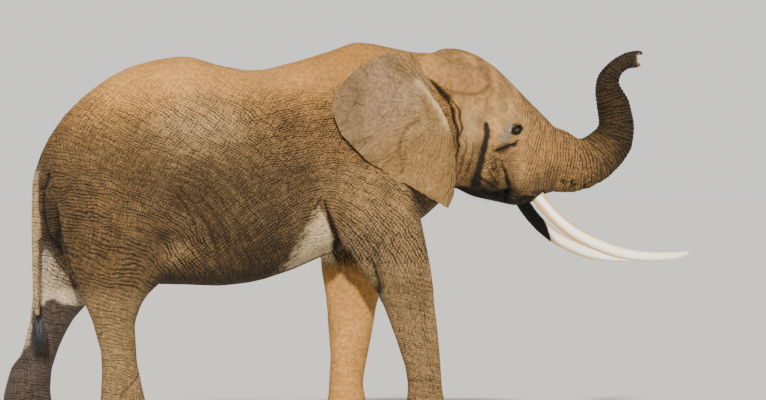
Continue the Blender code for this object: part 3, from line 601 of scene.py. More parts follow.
def along_trunk(places):
    """How far along the trunk's line each place lies, how far round it, and the distance from it."""
    steps = np.linspace(0, 1, 12, endpoint=False)[:, None]
    fine = np.vstack([a + (b - a) * steps for a, b in zip(TRUNK_LINE, TRUNK_LINE[1:])] + [TRUNK_LINE[-1:]])
    lengths = np.concatenate([[0], np.cumsum(np.linalg.norm(np.diff(fine, axis=0), axis=1))])
    ways = np.gradient(fine, axis=0)
    ways /= np.linalg.norm(ways, axis=1, keepdims=True)
    nearest = np.empty(len(places), int)
    for start in range(0, len(places), 20000):
        gap = places[start:start + 20000, None, :] - fine[None]
        nearest[start:start + 20000] = (gap**2).sum(axis=2).argmin(axis=1)
    offset = places - fine[nearest]
    along = lengths[nearest] + (offset * ways[nearest]).sum(axis=1)
    inner = np.stack([-ways[nearest][:, 2], 0 * along, ways[nearest][:, 0]], axis=1)
    return along, (offset * inner).sum(axis=1), np.linalg.norm(offset, axis=1)


SPACING, CROSS_SPACING, CROSS_TURN = 0.0195, 0.023, 86.0
flank_grid = crease_phase(FLANK_LIE, SPACING)
cross_grid = crease_phase(FLANK_LIE, CROSS_SPACING, CROSS_TURN)
shoulder_grid = crease_phase(SHOULDER_LIE, SPACING)

# How far along the trunk, and how far apart its rings are there
RING_SPACING = ((0, 0.7, 1.6, 2.6, 3.6), (0.026, 0.026, 0.030, 0.022, 0.018))
RING_STEP = 0.01
EYE_PLACE = (1.434, 2.478)
EAR_PLACE = (0.85, 2.65)

slow = layered_noise(net.places, 0.22, 11)
other = layered_noise(net.places, 0.18, 23)
third = layered_noise(net.places, 0.16, 37)
phase = np.stack([
    sampled(flank_grid, x, z) + 0.9 * slow,
    sampled(shoulder_grid, x, z) + 0.9 * other,
    sampled(cross_grid, x, z) + 0.6 * third,
], axis=1)
front = np.flatnonzero((head + trunk > 0.01) & (head_x > 0.9))
along, inner, away = along_trunk(net.places[front])
stations = np.arange(0, 3.6, RING_STEP)
rings = np.cumsum(1 / np.interp(stations, *RING_SPACING)) * RING_STEP
phase[front, 0] = np.interp(along, stations, rings) + 0.35 * slow[front] + 0.25 * third[front]
from_eye = np.hypot((head_x - EYE_PLACE[0]) * 0.85, z - EYE_PLACE[1])
on_head = head > 0.5
phase[on_head, 1] = from_eye[on_head] / 0.020 + 0.5 * other[on_head]
phase[front, 2] = inner / 0.034 + 0.6 * third[front]
top = rise(z, 2.55, 2.95)
trunk_length = np.zeros(net.count)
trunk_length[front] = along
face_front = head * rise(head_x, 1.42, 1.56) + trunk
groin = oval(x, -1.17, 0.34, 1.74, 0.40)
bottom = oval(x, -2.10, 0.28, 1.85, 0.30)
hull = np.clip(torso_legs - limb, 0, 1)
flank_weight = hull * (1 - 0.80 * top) * (1 - 0.75 * rise(x, -0.75, -0.15))
flank_weight *= 0.75 + 0.55 * groin + 0.45 * bottom
far_fore = legs * (y > 0) * (x > -0.4)
flank_weight += 0.52 * limb * (1 - 0.75 * far_fore) + 0.5 * tail
flank_weight += face_front * (0.50 + 0.35 * rise(trunk_length, 0.5, 1.2))
shoulder_weight = (hull * (1 - top) + 0.5 * limb * (1 - 0.8 * far_fore)) * rise(x, -1.0, -0.5)
face_weight = 0.12 * bell(from_eye, 0.11, 0.04) + 0.25 * rise(2.5 - z, 0.0, 0.2)
shoulder_weight += head * face_weight * (1 - 0.6 * face_front)
cross_weight = (0.80 * hull + 0.48 * limb * (1 - 0.75 * far_fore)) * (1 - 0.7 * top)
cross_weight += 0.30 * trunk + 0.2 * head * rise(head_x, 1.3, 1.5)
ear_from = np.hypot(head_x - EAR_PLACE[0], z - EAR_PLACE[1])
ear_round = np.arctan2(z - EAR_PLACE[1], EAR_PLACE[0] - head_x)
phase[:, 0] = np.where(ear > 0.5, ear_round * 11 + 1.2 * slow + 0.8 * third, phase[:, 0])
phase[:, 2] = np.where(ear > 0.5, ear_from * 24 + 1.6 * other, phase[:, 2])
flank_weight += 0.30 * ear * rise(ear_from, 0.1, 0.3)
cross_weight += 0.22 * ear
weight = np.stack([flank_weight, shoulder_weight, cross_weight], axis=1)
far_hind = legs * (y > 0) * (x < -1.2) + torso * (y > 0.05) * oval(x, -2.45, 0.25, 1.3, 0.3)
far_hind = np.clip(far_hind, 0, 1)
weight *= (1 - 0.4 * far_hind * rise(z, 1.0, 1.1))[:, None]
weight *= (1 + 0.35 * torso * rise(1.75 - z, 0, 0.3))[:, None]
bare = wedge((-0.417, 1.40), (-0.195, 1.80), (0.033, 1.40), (-0.165, 1.80), (0.075, 0.012)) * torso
bare *= rise(side_of * y, 0.15, 0.3)
weight = weight * (1 - 0.75 * bare)[:, None]
deep = np.clip(np.abs(np.sin(np.pi * phase[:, 0])), 0, 1) - 0.64
sunk -= 0.0035 * trunk * deep * (1 + 0.9 * rise(trunk_length, 1.1, 1.6))
under = np.zeros(net.count)
under[front] = rise(-inner, 0.02, 0.08) * bell(along, 0.95, 0.30)
knobs = value_noise(net.places, 0.038, 47)
sunk += 0.016 * trunk * under * knobs
# painted shade between the knobs under the trunk
dark = np.maximum(dark, 0.75 * trunk * under * rise(knobs, 0.1, 0.6))

net.places -= normals * sunk[:, None]
net.places -= normals * (0.009 * rise(masks["nails"], 0.2, 0.8))[:, None]

EAR_FOLD = ((0.545, 2.545), (0.46, 2.51), (0.40, 2.42), (0.365, 2.30), (0.41, 2.17), (0.40, 2.13))
waving = 0.010 * np.sin(9.0 * ear_round + 2.5 * slow) * rise(ear_from, 0.15, 0.6)
waving += 0.010 * value_noise(net.places * (1, 0, 1), 0.16, 41) * rise(ear_from, 0.1, 0.5)
ear_fold = line_distance(head_x, z, EAR_FOLD)[0]
waving -= 0.014 * bell(ear_fold, 0.0, 0.022)
net.places[:, 1] += ear * side_of * waving
# painted shade along the ear's fold
dark = np.maximum(dark, 0.35 * ear * bell(ear_fold, 0.0, 0.012))

# ---------------------------------------------------------------- eyelids

EYE_SINK = 0.006
OPENING_WIDE, OPENING_HIGH, OPENING_LOW = 0.030, 0.023, 0.020  # from the eye's middle to the rims of its lids
LID_SLANT = 0.30
gaze = {}
for side, sign in SIDES:
    middle = np.array(eyes[side])
    near = np.flatnonzero(np.linalg.norm(net.places - middle, axis=1) < 0.13)
    close = near[np.linalg.norm(net.places[near] - middle, axis=1) < 0.07]
    out = normals[close].mean(axis=0)
    out /= np.linalg.norm(out)
    ahead = np.cross((0, 0, 1.0), out) * sign
    ahead *= -1 if ahead[0] < 0 else 1
    ahead /= np.linalg.norm(ahead)
    upward = np.cross(out, ahead)
    upward *= -1 if upward[2] < 0 else 1
    middle = middle - out * EYE_SINK
    gaze[side] = (middle, out, ahead, upward)
    offset = net.places[near] - middle
    a, c, h = offset @ ahead, offset @ upward, offset @ out
    tilt = c - LID_SLANT * a
    wide = np.hypot(a, c)
    gap = (np.abs(a) / OPENING_WIDE) ** 1.8
    gap += (np.abs(tilt) / np.where(tilt > 0, OPENING_HIGH, OPENING_LOW)) ** 1.8
    lid = np.sqrt(np.maximum((EYE_RADIUS + 0.007) ** 2 - wide**2, 0.0))
    lid_mix = 1 - rise(wide, 0.028, 0.066)
    height = h * (1 - lid_mix) + lid * lid_mix
    height += 0.0045 * bell(gap, 1.5, 0.55) * (wide < 0.05)
    inner = rise(0.06 - np.abs(a), 0.0, 0.03)
    height += 0.007 * inner * (bell(tilt, 0.034, 0.009) + 0.7 * bell(tilt, -0.032, 0.008))
    furrows = bell(tilt, 0.047, 0.006) + bell(tilt, 0.024, 0.004) + 0.7 * bell(tilt, -0.043, 0.006)
    height -= 0.006 * inner * furrows
    height -= 0.012 * bell(wide, 0.070, 0.018) * rise(-tilt, -0.02, 0.03)
    inside = 1 - rise(gap, 0.80, 1.05)
    height = height * (1 - inside) + (np.sqrt(np.maximum(EYE_RADIUS**2 - wide**2, 0)) - 0.014) * inside
    net.places[near] += out * (height - h)[:, None] * rise(0.125 - wide, 0.0, 0.04)[:, None]
    # the lids are darkened round the opening: their dark rims, with painted shade
    rim_gap = np.where(tilt > 0, 2.4, 3.2)
    dark[near] = np.maximum(dark[near], (gap < rim_gap) + bell(gap, rim_gap, 0.9) * (gap >= rim_gap))
    # painted shade in the lids' furrows
    furrows = bell(tilt, 0.047, 0.005) + 0.6 * bell(tilt, -0.043, 0.005)
    dark[near] = np.maximum(dark[near], 0.55 * inner * furrows)

# ---------------------------------------------------------------- tones

TONES = {
    "dust": (0.52, 0.255, 0.068), "tan": (0.27, 0.146, 0.050), "brown": (0.105, 0.063, 0.026),
    "deep": (0.019, 0.0125, 0.0045), "sand": (0.58, 0.31, 0.10), "pale": (0.62, 0.50, 0.36),
    "lilac": (0.60, 0.45, 0.27), "grey": (0.25, 0.160, 0.092), "ear": (0.22, 0.122, 0.042),
    "mud": (0.055, 0.038, 0.031), "blue": (0.158, 0.138, 0.110), "streak": (0.008, 0.006, 0.005),
    "crease": (0.006, 0.004, 0.002), "rim": (0.60, 0.43, 0.22), "pink": (0.42, 0.23, 0.13),
    "olive": (0.11, 0.08, 0.033), "rust": (0.23, 0.105, 0.040), "amber": (0.36, 0.155, 0.026),
}
STREAK = ((1.165, 2.516), (1.165, 2.434), (1.140, 2.336), (1.123, 2.230), (1.106, 2.107), (1.112, 2.00))
# Colour, height of the upper edge, how ragged and how soft it is, and where the shade ends ahead
CHIN_SHADES = (
    ("deep", 2.05, 0.02, 0.07, 1.42, 1.50), ("crease", 2.02, 0.03, 0.06, 1.38, 1.46),
    ("crease", 1.945, 0.012, 0.03, 1.56, 1.62),
)
MUD_TOP = 1.07  # the muddy hind leg is wet up to here
EAR_RIM = ((0.56, 2.86), (0.65, 2.77), (0.72, 2.68), (0.775, 2.58), (0.81, 2.48), (0.83, 2.38))

patch = layered_noise(net.places, 0.55, 71)
fleck = layered_noise(net.places, 0.12, 83)
mottle = layered_noise(net.places, 0.25, 97)
blotch = layered_noise(net.places * (1.0, 0.6, 0.45), 0.060, 57)
level = z + 0.08 * patch + 0.03 * fleck
inner_side = 1 - rise(normals[:, 1] + 0.15 * fleck, 0.1, 0.7)
tone = np.tile(TONES["brown"], (net.count, 1))


def painted(colour, amount):
    amount = np.clip(amount, 0, 1)[:, None]
    tone[:] = tone * (1 - amount) + np.array(TONES[colour]) * amount


def dabbed(where, across, *dabs):
    """Paints soft ovals: each has its colour and strength, then its middle and reach across and up."""
    for colour, strength, *place in dabs:
        painted(colour, strength * where * oval(across, *place))


# Dust on the back, brown flanks
painted("tan", 0.85 * rise(level, 2.08, 2.62))
painted("dust", torso * rise(level, 2.42, 2.92))
painted("tan", 0.85 * torso * rise(x, -0.40, 0.15) * rise(level, 1.5, 1.95))
dabbed(torso, x, ("tan", 0.30, -1.95, 0.35, 1.85, 0.4))
dabbed(1, x, ("tan", 0.55, -1.32, 0.12, 1.47, 0.10))
painted("tan", 0.16 * limb)
painted("tan", 0.45 * limb * rise(1.10 - z, 0, 0.4))
painted("tan", 0.45 * rise(x, 0.20, 0.50) * rise(1.9 - z, 0, 0.5) * (1 - head) * (1 - ear))
painted("olive", 0.30 * limb)

# Head
painted("tan", 0.98 * head * rise(level, 1.95, 2.25))
dabbed(head, head_x, ("deep", 0.50, 1.085, 0.050, 2.29, 0.15))
painted("dust", 0.30 * head * rise(level + 0.06 * fleck, 2.45, 2.8) * rise(head_x, 1.0, 1.3))
dabbed(
    head, head_x, ("brown", 0.30, 1.18, 0.06, 2.88, 0.10), ("dust", 0.40, 1.22, 0.09, 2.70, 0.035),
    ("brown", 0.75, 1.03, 0.12, 2.22, 0.17), ("brown", 0.35, 1.36, 0.07, 2.22, 0.07),
)
painted("brown", 0.25 * head * rise(mottle, -0.1, 0.9))
painted("olive", (0.30 * torso + 0.15 * head) * rise(fleck, 0.0, 0.9))
high = head * rise(z, 2.40, 2.55)
painted("brown", (0.30 * high + 0.20 * head) * rise(blotch, 0.10, 0.75))
painted("sand", (0.22 * high + 0.14 * head) * rise(-blotch, 0.15, 0.80))
dabbed(torso, x, ("rim", 0.32, -1.15, 0.38, 2.52, 0.22))
painted("sand", 0.50 * cheek * rise(-0.10 - pucker, 0.0, 0.3))
dabbed(head, head_x, ("rust", 0.60, 0.99, 0.20, 2.875, 0.105), ("rim", 0.20, 1.03, 0.06, 2.50, 0.16))
painted("deep", 0.55 * cheek * rise(fleck, -0.5, 0.4))

# Ears
painted("ear", 0.45 * head * bell(head_x, 0.62, 0.14) * rise(z, 2.84, 2.95))
ear_toned = ear * (1 - 0.75 * rise(z, 2.82, 2.98) * rise(head_x, 0.28, 0.46))
painted("ear", ear_toned)
painted("grey", 0.75 * ear_toned * rise(z - 0.9 * head_x + 0.06 * patch, 2.05, 2.35))
dabbed(ear, head_x, ("brown", 0.20, 0.25, 0.14, 2.28, 0.14))
painted("brown", 0.40 * ear * rise(ear_from + 0.03 * fleck, 0.72, 0.85) * (head_x < 0.2))
painted("brown", 0.28 * ear * rise(mottle, 0.0, 0.9))
painted("rim", 0.12 * ear * rise(-mottle, 0.3, 1.0))
painted("olive", 0.30 * ear * rise(fleck, -0.2, 0.8))
rays = np.stack([ear_round * 9.0, ear_from * 2.2, 0 * ear_from], axis=1)
pale_rays = ear * rise(layered_noise(rays, 1.3, 92), 0.2, 0.9) * rise(2.5 - z, 0.0, 0.2)
painted("brown", 0.40 * ear * rise(layered_noise(rays, 1.0, 91), 0.15, 0.9))
painted("sand", 0.22 * pale_rays)
# painted shade along the ear's fold
painted("brown", 0.45 * ear * bell(ear_fold + 0.02 * fleck, 0.0, 0.030))
# a dark strip before the ear's pale rim: the fold's own brown, with painted shade
before_rim = rise(head_x + 0.4 * (z - 2.6), 0.80, 0.84) * rise(z, 2.35, 2.45) * (ear_from < 0.5)
painted("brown", 0.7 * ear * before_rim)
ear_rim = bell(line_distance(head_x, z, EAR_RIM)[0] + 0.012 * fleck, 0.0, 0.034)
painted("rim", 0.75 * ear * ear_rim * rise(z, 2.42, 2.62))
painted("brown", 0.22 * ear * bell(head_x, 0.84, 0.03) * rise(2.45 - z, 0.0, 0.1))

# Trunk, tail, shade under the belly and in the folds
painted("tan", 0.72 * trunk * (1 - rise(trunk_length, 0.9, 1.4)))
painted("deep", 0.93 * trunk * rise(trunk_length + 0.05 * patch, 1.05, 1.58))
painted("rim", 0.42 * tail)
painted("deep", 0.45 * torso * rise(-normals[:, 2], 0.5, 0.95))
dabbed(torso, x, ("tan", 0.15, -0.98, 0.34, 1.375, 0.05))
dabbed(torso_legs, x, ("tan", 0.35, -1.86, 0.16, 1.33, 0.14))
dabbed((torso + legs) * (np.abs(y) > 0.2), x, ("rim", 0.22, -1.34, 0.09, 1.46, 0.10))
chest_shade = torso_legs * rise(x + 0.25 * (z - 1.9), 0.52, 0.60) * bell(z, 1.88, 0.18)
painted("deep", 0.88 * chest_shade * rise(np.abs(y), 0.0, 0.25))
# painted shade in the hollows of the belly and hip, the groin and the groove beside the tail
dabbed(torso, x, ("deep", 0.35, -0.66, 0.26, 1.56, 0.2), ("deep", 0.35, -1.62, 0.12, 2.42, 0.2))
dabbed(np.abs(y) > 0.2, x, ("deep", 0.6, -1.45, 0.07, 1.60, 0.06))
dabbed(torso, x + 0.02 * fleck, ("deep", 0.80, -2.345, 0.055, 1.76, 0.24))

# Legs and shoulder
painted("sand", 0.54 * far_fore * inner_side)
painted("amber", 0.55 * far_fore * inner_side)
near_fore = limb * (y < 0) * (x > -0.4)
painted("sand", 0.38 * near_fore * rise(normals[:, 0], 0.35, 0.85) * rise(1.75 - z, 0, 0.3))
dabbed(
    torso, x, ("amber", 0.70, 0.10, 0.36, 3.04, 0.24), ("rust", 0.22, 0.04, 0.25, 3.04, 0.16),
    ("sand", 0.10, 0.02, 0.25, 1.95, 0.25),
)
dabbed(head + trunk, head_x, ("dust", 0.16, 1.63, 0.13, 2.31, 0.13))
painted("rim", 0.13 * limb * (1 - 0.8 * far_fore))
shoulder = torso_legs * rise(x, -0.35, 0.05)
painted("rim", 0.14 * shoulder * rise(2.3 - z, 0, 0.3) * rise(z, 1.2, 1.4))
dabbed(head, head_x, ("rim", 0.10, 1.35, 0.25, 2.60, 0.35))
painted("mud", 0.55 * trunk * rise(trunk_length, 1.9, 2.5))
painted("pale", 0.72 * far_hind * inner_side)
rear_rim = inner_side * rise(-normals[:, 0] + 0.15 * fleck, 0.80, 0.95) * rise(z, 0.55, 0.7)
muddy = rise(MUD_TOP - z + 0.04 * fleck + 0.03 * patch, 0, 0.03)
painted("mud", 0.97 * far_hind * muddy * (1 - 0.8 * rear_rim))
dabbed(legs * (y < 0), x, ("pink", 0.7, -1.63, 0.06, 0.43, 0.06))
painted("lilac", 0.90 * bare)

# Round the eye, painted shade under the chin, cheek and lip, the streak, painted shade in the folds, the
# trunk's tip
eye_aside, eye_above = head_x - 1.345, z - 2.440
eye_along, eye_over = 0.53 * eye_aside + 0.85 * eye_above, 0.85 * eye_aside - 0.53 * eye_above
eye_patch = np.hypot(eye_along / 0.13, eye_over / 0.062)
painted("blue", 0.76 * head * (1 - rise(eye_patch + 0.25 * fleck, 0.3, 1.15)))
for colour, highest, ragged, soft, *front_end in CHIN_SHADES:
    under_chin = head * rise(highest - z + ragged * fleck, 0, soft)
    painted(colour, 0.92 * under_chin * (1 - rise(head_x, *front_end)))
# painted shade under the cheek's puckers
painted("crease", 0.70 * head * bell(head_x, 1.235, 0.085) * bell(z + 0.012 * fleck, 2.025, 0.036))
# painted shade under the trunk's base, above the tusk
dabbed(1, head_x, ("crease", 0.85, 1.62, 0.085, 1.962, 0.024))
streak, streak_along = line_distance(head_x + 0.008 * fleck, z, STREAK)
streak_width = 0.026 + 0.004 * streak_along
streak += 0.005 * fleck + 0.004 * value_noise(net.places, 0.02, 51)
streak = 1 - rise(streak, streak_width * 0.55, streak_width * 1.45)
painted("streak", 0.97 * head * rise(np.abs(normals[:, 1]), 0.05, 0.2) * streak)
# the painted shade in the folds, weaker on the far side towards the rear
painted("crease", 0.97 * dark * (1 - 0.45 * rise(y, -0.05, 0.15) * rise(-1.3 - x, 0, 0.3)))
tone *= (1 + 0.12 * patch + 0.10 * fleck)[:, None]
tip = trunk * rise(net.places[:, 0], 2.40, 2.45) * rise(normals[:, 0], 0.3, 0.7)
painted("pink", 0.85 * tip)
wet = far_hind * rise(MUD_TOP - z, 0, 0.05) + 0.35 * trunk * rise(trunk_length, 1.12, 1.62)
wet = np.clip(wet, 0, 1)

net.places[:, 2] = np.maximum(net.places[:, 2], 0.0)
net.stored()
smooth_shaded(hide_mesh)


def filled(layer, key, values):
    layer.data.foreach_set(key, np.ascontiguousarray(values, np.float32).ravel())


def stored_vectors(mesh, name, values):
    filled(mesh.attributes.new(name, "FLOAT_VECTOR", "POINT"), "vector", values)


ATLAS_GAP = 0.02  # between the groups of faces on the map


def unwrapped(mesh, groups):
    """Gives the mesh its OFBake map: each group's faces, by the way they face, laid flat side by side."""
    loops = column(mesh.loops, "vertex_index", np.int32)
    sizes = column(mesh.polygons, "loop_total", np.int32)
    face_of = np.repeat(np.arange(len(sizes)), sizes)
    first = np.concatenate([[0], np.cumsum(sizes)[:-1]])
    net = Net(mesh)
    ways = net.smoothed(net.normals(), 30)
    way = np.add.reduceat(ways[loops], first, axis=0)
    axis = np.abs(way).argmax(axis=1)
    facing = axis * 2 + (way[np.arange(len(way)), axis] > 0)
    chart = groups[loops[first]].astype(np.int64) * 6 + facing
    kinds, chart = np.unique(chart, return_inverse=True)
    flat_axes = np.array(((1, 2), (0, 2), (0, 1)))[kinds % 6 // 2]
    corner_chart = chart[face_of]
    spots = net.places[loops]
    rows = np.arange(len(loops))
    flat = np.stack([spots[rows, flat_axes[corner_chart, k]] for k in (0, 1)], axis=1)
    low, high = np.full((len(kinds), 2), 1e9), np.full((len(kinds), 2), -1e9)
    np.minimum.at(low, corner_chart, flat)
    np.maximum.at(high, corner_chart, flat)
    size = high - low + ATLAS_GAP
    width = math.sqrt(size.prod(axis=1).sum()) * 1.08
    width = max(width, size[:, 0].max())
    spot, shelf, tall, start = 0.0, 0.0, 0.0, np.zeros((len(kinds), 2))
    for k in np.argsort(-size[:, 1], kind="stable"):
        if spot + size[k, 0] > width:
            spot, shelf, tall = 0.0, shelf + tall, 0.0
        start[k] = spot, shelf
        spot += size[k, 0]
        tall = max(tall, size[k, 1])
    scale = 1 / max(width, shelf + tall)
    flat = (flat - low[corner_chart] + start[corner_chart] + ATLAS_GAP / 2) * scale
    filled(mesh.uv_layers.new(name="OFBake"), "uv", flat)
    at_vertex = np.zeros((net.count, 2))
    at_vertex[loops] = flat
    return at_vertex


side_group = np.where(net.places[:, 1] > 0, 1, 0)
fore_group = np.where(x > -0.9, 2, 0)
trunk_group = 60 + np.clip((trunk_length * 3).astype(int), 0, 12)
groups = np.zeros(net.count, int)
numbers = (10 + side_group + fore_group, 20, trunk_group, 30 + side_group, 40)
for part, number in zip((legs, head, trunk, ear, tail), numbers):
    groups = np.where(part > 0.5, number, groups)
hide_map = unwrapped(hide_mesh, groups)

stored_vectors(hide_mesh, "phase", phase)
stored_vectors(hide_mesh, "weight", weight)
stored_vectors(hide_mesh, "tone", np.clip(tone, 0, 1))
pebbled = 0.10 + 0.80 * np.maximum(flank_weight, shoulder_weight)
pebbled += 0.8 * head * oval(head_x, 1.22, 0.16, 2.1, 0.2)
stored_vectors(hide_mesh, "skin", np.stack([wet, np.clip(pebbled, 0, 1), 0 * wet], axis=1))
hide = shown("hide", hide_mesh)
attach(hide, "root")
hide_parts(*FLESH)


# ---------------------------------------------------------------- materials

class Shader:
    """A short way to write a node tree."""

    def __init__(self, name):
        self.material = bpy.data.materials.new(name)
        self.material.use_nodes = True
        self.tree = self.material.node_tree
        self.surface = self.tree.nodes["Principled BSDF"]

    def node(self, kind, *inputs, out=0, **settings):
        made = self.tree.nodes.new("ShaderNode" + kind)
        for key, value in settings.items():
            setattr(made, key, value)
        for slot, value in enumerate(inputs):
            if value is None:
                continue
            if isinstance(value, bpy.types.NodeSocket):
                self.tree.links.new(value, made.inputs[slot])
            else:
                made.inputs[slot].default_value = value
        return made.outputs[out]

    def sum(self, operation, *values):
        return self.node("Math", *values, operation=operation)

    def swing(self, value, amount):
        """Turns a value from 0 to 1 into a push of up to half this amount either way."""
        return self.sum("MULTIPLY", self.sum("SUBTRACT", value, 0.5), amount)

    def noise(self, place, scale, detail=3.0, rough=0.55):
        return self.node("TexNoise", place, None, scale, detail, rough)

    def ramp(self, *values):
        """Value, low and high, and what these become if that isn't 0 and 1."""
        return self.node("MapRange", *values, interpolation_type="SMOOTHSTEP")

    def mix(self, amount, one, two, blend="MIX"):
        colours = [(*colour, 1.0) if isinstance(colour, tuple) else colour for colour in (one, two)]
        skipped = [None] * 5
        settings = {"data_type": "RGBA", "blend_type": blend, "clamp_factor": True}
        return self.node("Mix", amount, *skipped, *colours, out=2, **settings)

    def attribute(self, name):
        return self.node("Attribute", out=1, attribute_name=name)

    def split(self, vector):
        made = self.tree.nodes.new("ShaderNodeSeparateXYZ")
        self.tree.links.new(vector, made.inputs[0])
        return made.outputs

    def place(self):
        return self.node("TexCoord", out=3)

    def bump(self, height, distance, strength=1.0, under=None):
        return self.node("Bump", strength, distance, None, height, under)

    def finish(self, colour=None, normal=None, roughness=None, **plain):
        for socket, value in (("Base Color", colour), ("Normal", normal), ("Roughness", roughness)):
            if isinstance(value, bpy.types.NodeSocket):
                self.tree.links.new(value, self.surface.inputs[socket])
            elif value is not None:
                self.surface.inputs[socket].default_value = value
        for key, value in plain.items():
            self.surface.inputs[key.replace("_", " ")].default_value = value
        return self.material


def hide_material():
    s = Shader("elephant_hide")
    place = s.place()
    phases, weights = s.split(s.attribute("phase")), s.split(s.attribute("weight"))
    skin = s.split(s.attribute("skin"))
    warp = s.swing(s.noise(place, 14.0, 3.0), 1.5)
    height = None
    for number, depth in ((0, 1.0), (1, 0.9), (2, 0.6)):
        turned = s.sum("ADD", phases[number], warp)
        ridge = s.sum("ABSOLUTE", s.sum("SINE", s.sum("MULTIPLY", turned, math.pi)))
        ridge = s.sum("POWER", ridge, 0.5)
        line = s.sum("MULTIPLY", s.sum("ROUND", turned), 7.31 + number)
        own = s.node("TexNoise", place, line, 6.0, 3.0, noise_dimensions="4D")
        own = s.ramp(own, 0.34, 0.64, 0.20, 1.25)
        amount = s.sum("MULTIPLY", s.sum("MULTIPLY", weights[number], depth), own)
        sunk = s.sum("MULTIPLY", s.sum("SUBTRACT", ridge, 1.0), amount)
        height = sunk if height is None else s.sum("ADD", height, sunk)
    fine = s.noise(place, 90.0, 4.0, 0.6)
    pads = s.node("TexVoronoi", place, None, 70.0, feature="DISTANCE_TO_EDGE")
    pads = s.ramp(pads, 0.0, 0.22)
    grain = s.sum("ADD", s.sum("MULTIPLY", pads, 0.35), s.sum("MULTIPLY", fine, 0.5))
    grain = s.sum("MULTIPLY", grain, s.ramp(skin[1], 0.0, 0.6, 0.25, 1.0))
    normal = s.bump(grain, 0.0075)
    normal = s.bump(height, 0.026, under=normal)
    grit = s.ramp(s.noise(place, 30.0, 5.0, 0.65), 0.25, 0.75, 0.70, 1.30)
    colour = s.mix(1.0, s.attribute("tone"), grit, "MULTIPLY")
    # painted highlight on the skin's pads and painted shade in the cracks between them
    pad_light_and_shade = s.ramp(pads, 0.0, 1.0, 0.42, 1.38)
    colour = s.mix(skin[1], colour, pad_light_and_shade, "MULTIPLY")
    # painted shade in the wrinkles' creases, darkest where they are deepest
    creased = s.ramp(height, -0.95, -0.32, 1.0, 0.0)
    colour = s.mix(s.sum("MULTIPLY", creased, 0.90), colour, (0.022, 0.012, 0.006))
    roughness = s.ramp(skin[0], 0.0, 1.0, 0.85, 0.50)
    return s.finish(colour, normal, roughness, Specular_IOR_Level=0.22)


hide_mesh.materials.append(hide_material())

# ---------------------------------------------------------------- eyes

def eye_material():
    s = Shader("elephant_eye")
    seen = s.split(s.attribute("gaze"))
    place = s.place()
    threads = s.noise(s.attribute("threads"), 9.0, 4.0, 0.7)
    iris = s.mix(threads, (0.006, 0.003, 0.0015), (0.030, 0.013, 0.005))
    white = s.mix(s.noise(place, 60.0, 3.0), (0.010, 0.007, 0.005), (0.028, 0.019, 0.013))
    colour = s.mix(s.ramp(seen[0], 0.40, 0.46), iris, white)
    colour = s.mix(s.ramp(seen[0], 0.15, 0.19), (0.002, 0.002, 0.002), colour)
    return s.finish(colour, None, 0.08, Coat_Weight=1.0, Coat_Roughness=0.02, IOR=1.38)


def eyeball(side, middle, out):
    """A dark eye with a raised cornea that looks along out."""
    mesh = bpy.data.meshes.new(f"eyeball_{side}")
    bm = bmesh.new()
    bmesh.ops.create_uvsphere(bm, u_segments=64, v_segments=48, radius=EYE_RADIUS)
    bm.to_mesh(mesh)
    bm.free()
    net = Net(mesh)
    from_pole = np.arccos(np.clip(net.places[:, 2] / EYE_RADIUS, -1, 1))
    round_pole = np.arctan2(net.places[:, 1], net.places[:, 0])
    net.places *= (1 + 0.05 * (1 - rise(from_pole, 0.30, 0.62)))[:, None]
    turn = np.array(Vector(out).to_track_quat("Z", "Y").to_matrix())
    net.places = net.places @ turn.T + middle
    net.stored()
    stored_vectors(mesh, "gaze", np.stack([from_pole, round_pole, 0 * from_pole], axis=1))
    spokes = np.stack([np.cos(round_pole), np.sin(round_pole), 0.35 * from_pole], axis=1)
    stored_vectors(mesh, "threads", spokes)
    smooth_shaded(mesh)
    mesh.materials.append(EYE_MATERIAL)
    ball = shown(f"eyeball_{side}", mesh)
    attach(ball, "root")
    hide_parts(f"eye_{side}")


EYE_MATERIAL = eye_material()
for side, _ in SIDES:
    eyeball(side, *gaze[side][:2])


# ---------------------------------------------------------------- tusks and nails

def even_copy(node, name, grid, rounds):
    """A fine, smooth mesh of a CAD node."""
    obj = shown(name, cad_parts[node].data.copy())
    even = obj.modifiers.new("even", "REMESH")
    even.mode, even.voxel_size = "VOXEL", grid
    mesh = evaluated(obj)
    bpy.data.objects.remove(obj)
    mesh.materials.clear()
    net = Net(mesh)
    net.softened(rounds)
    net.stored()
    smooth_shaded(mesh)
    return mesh, net


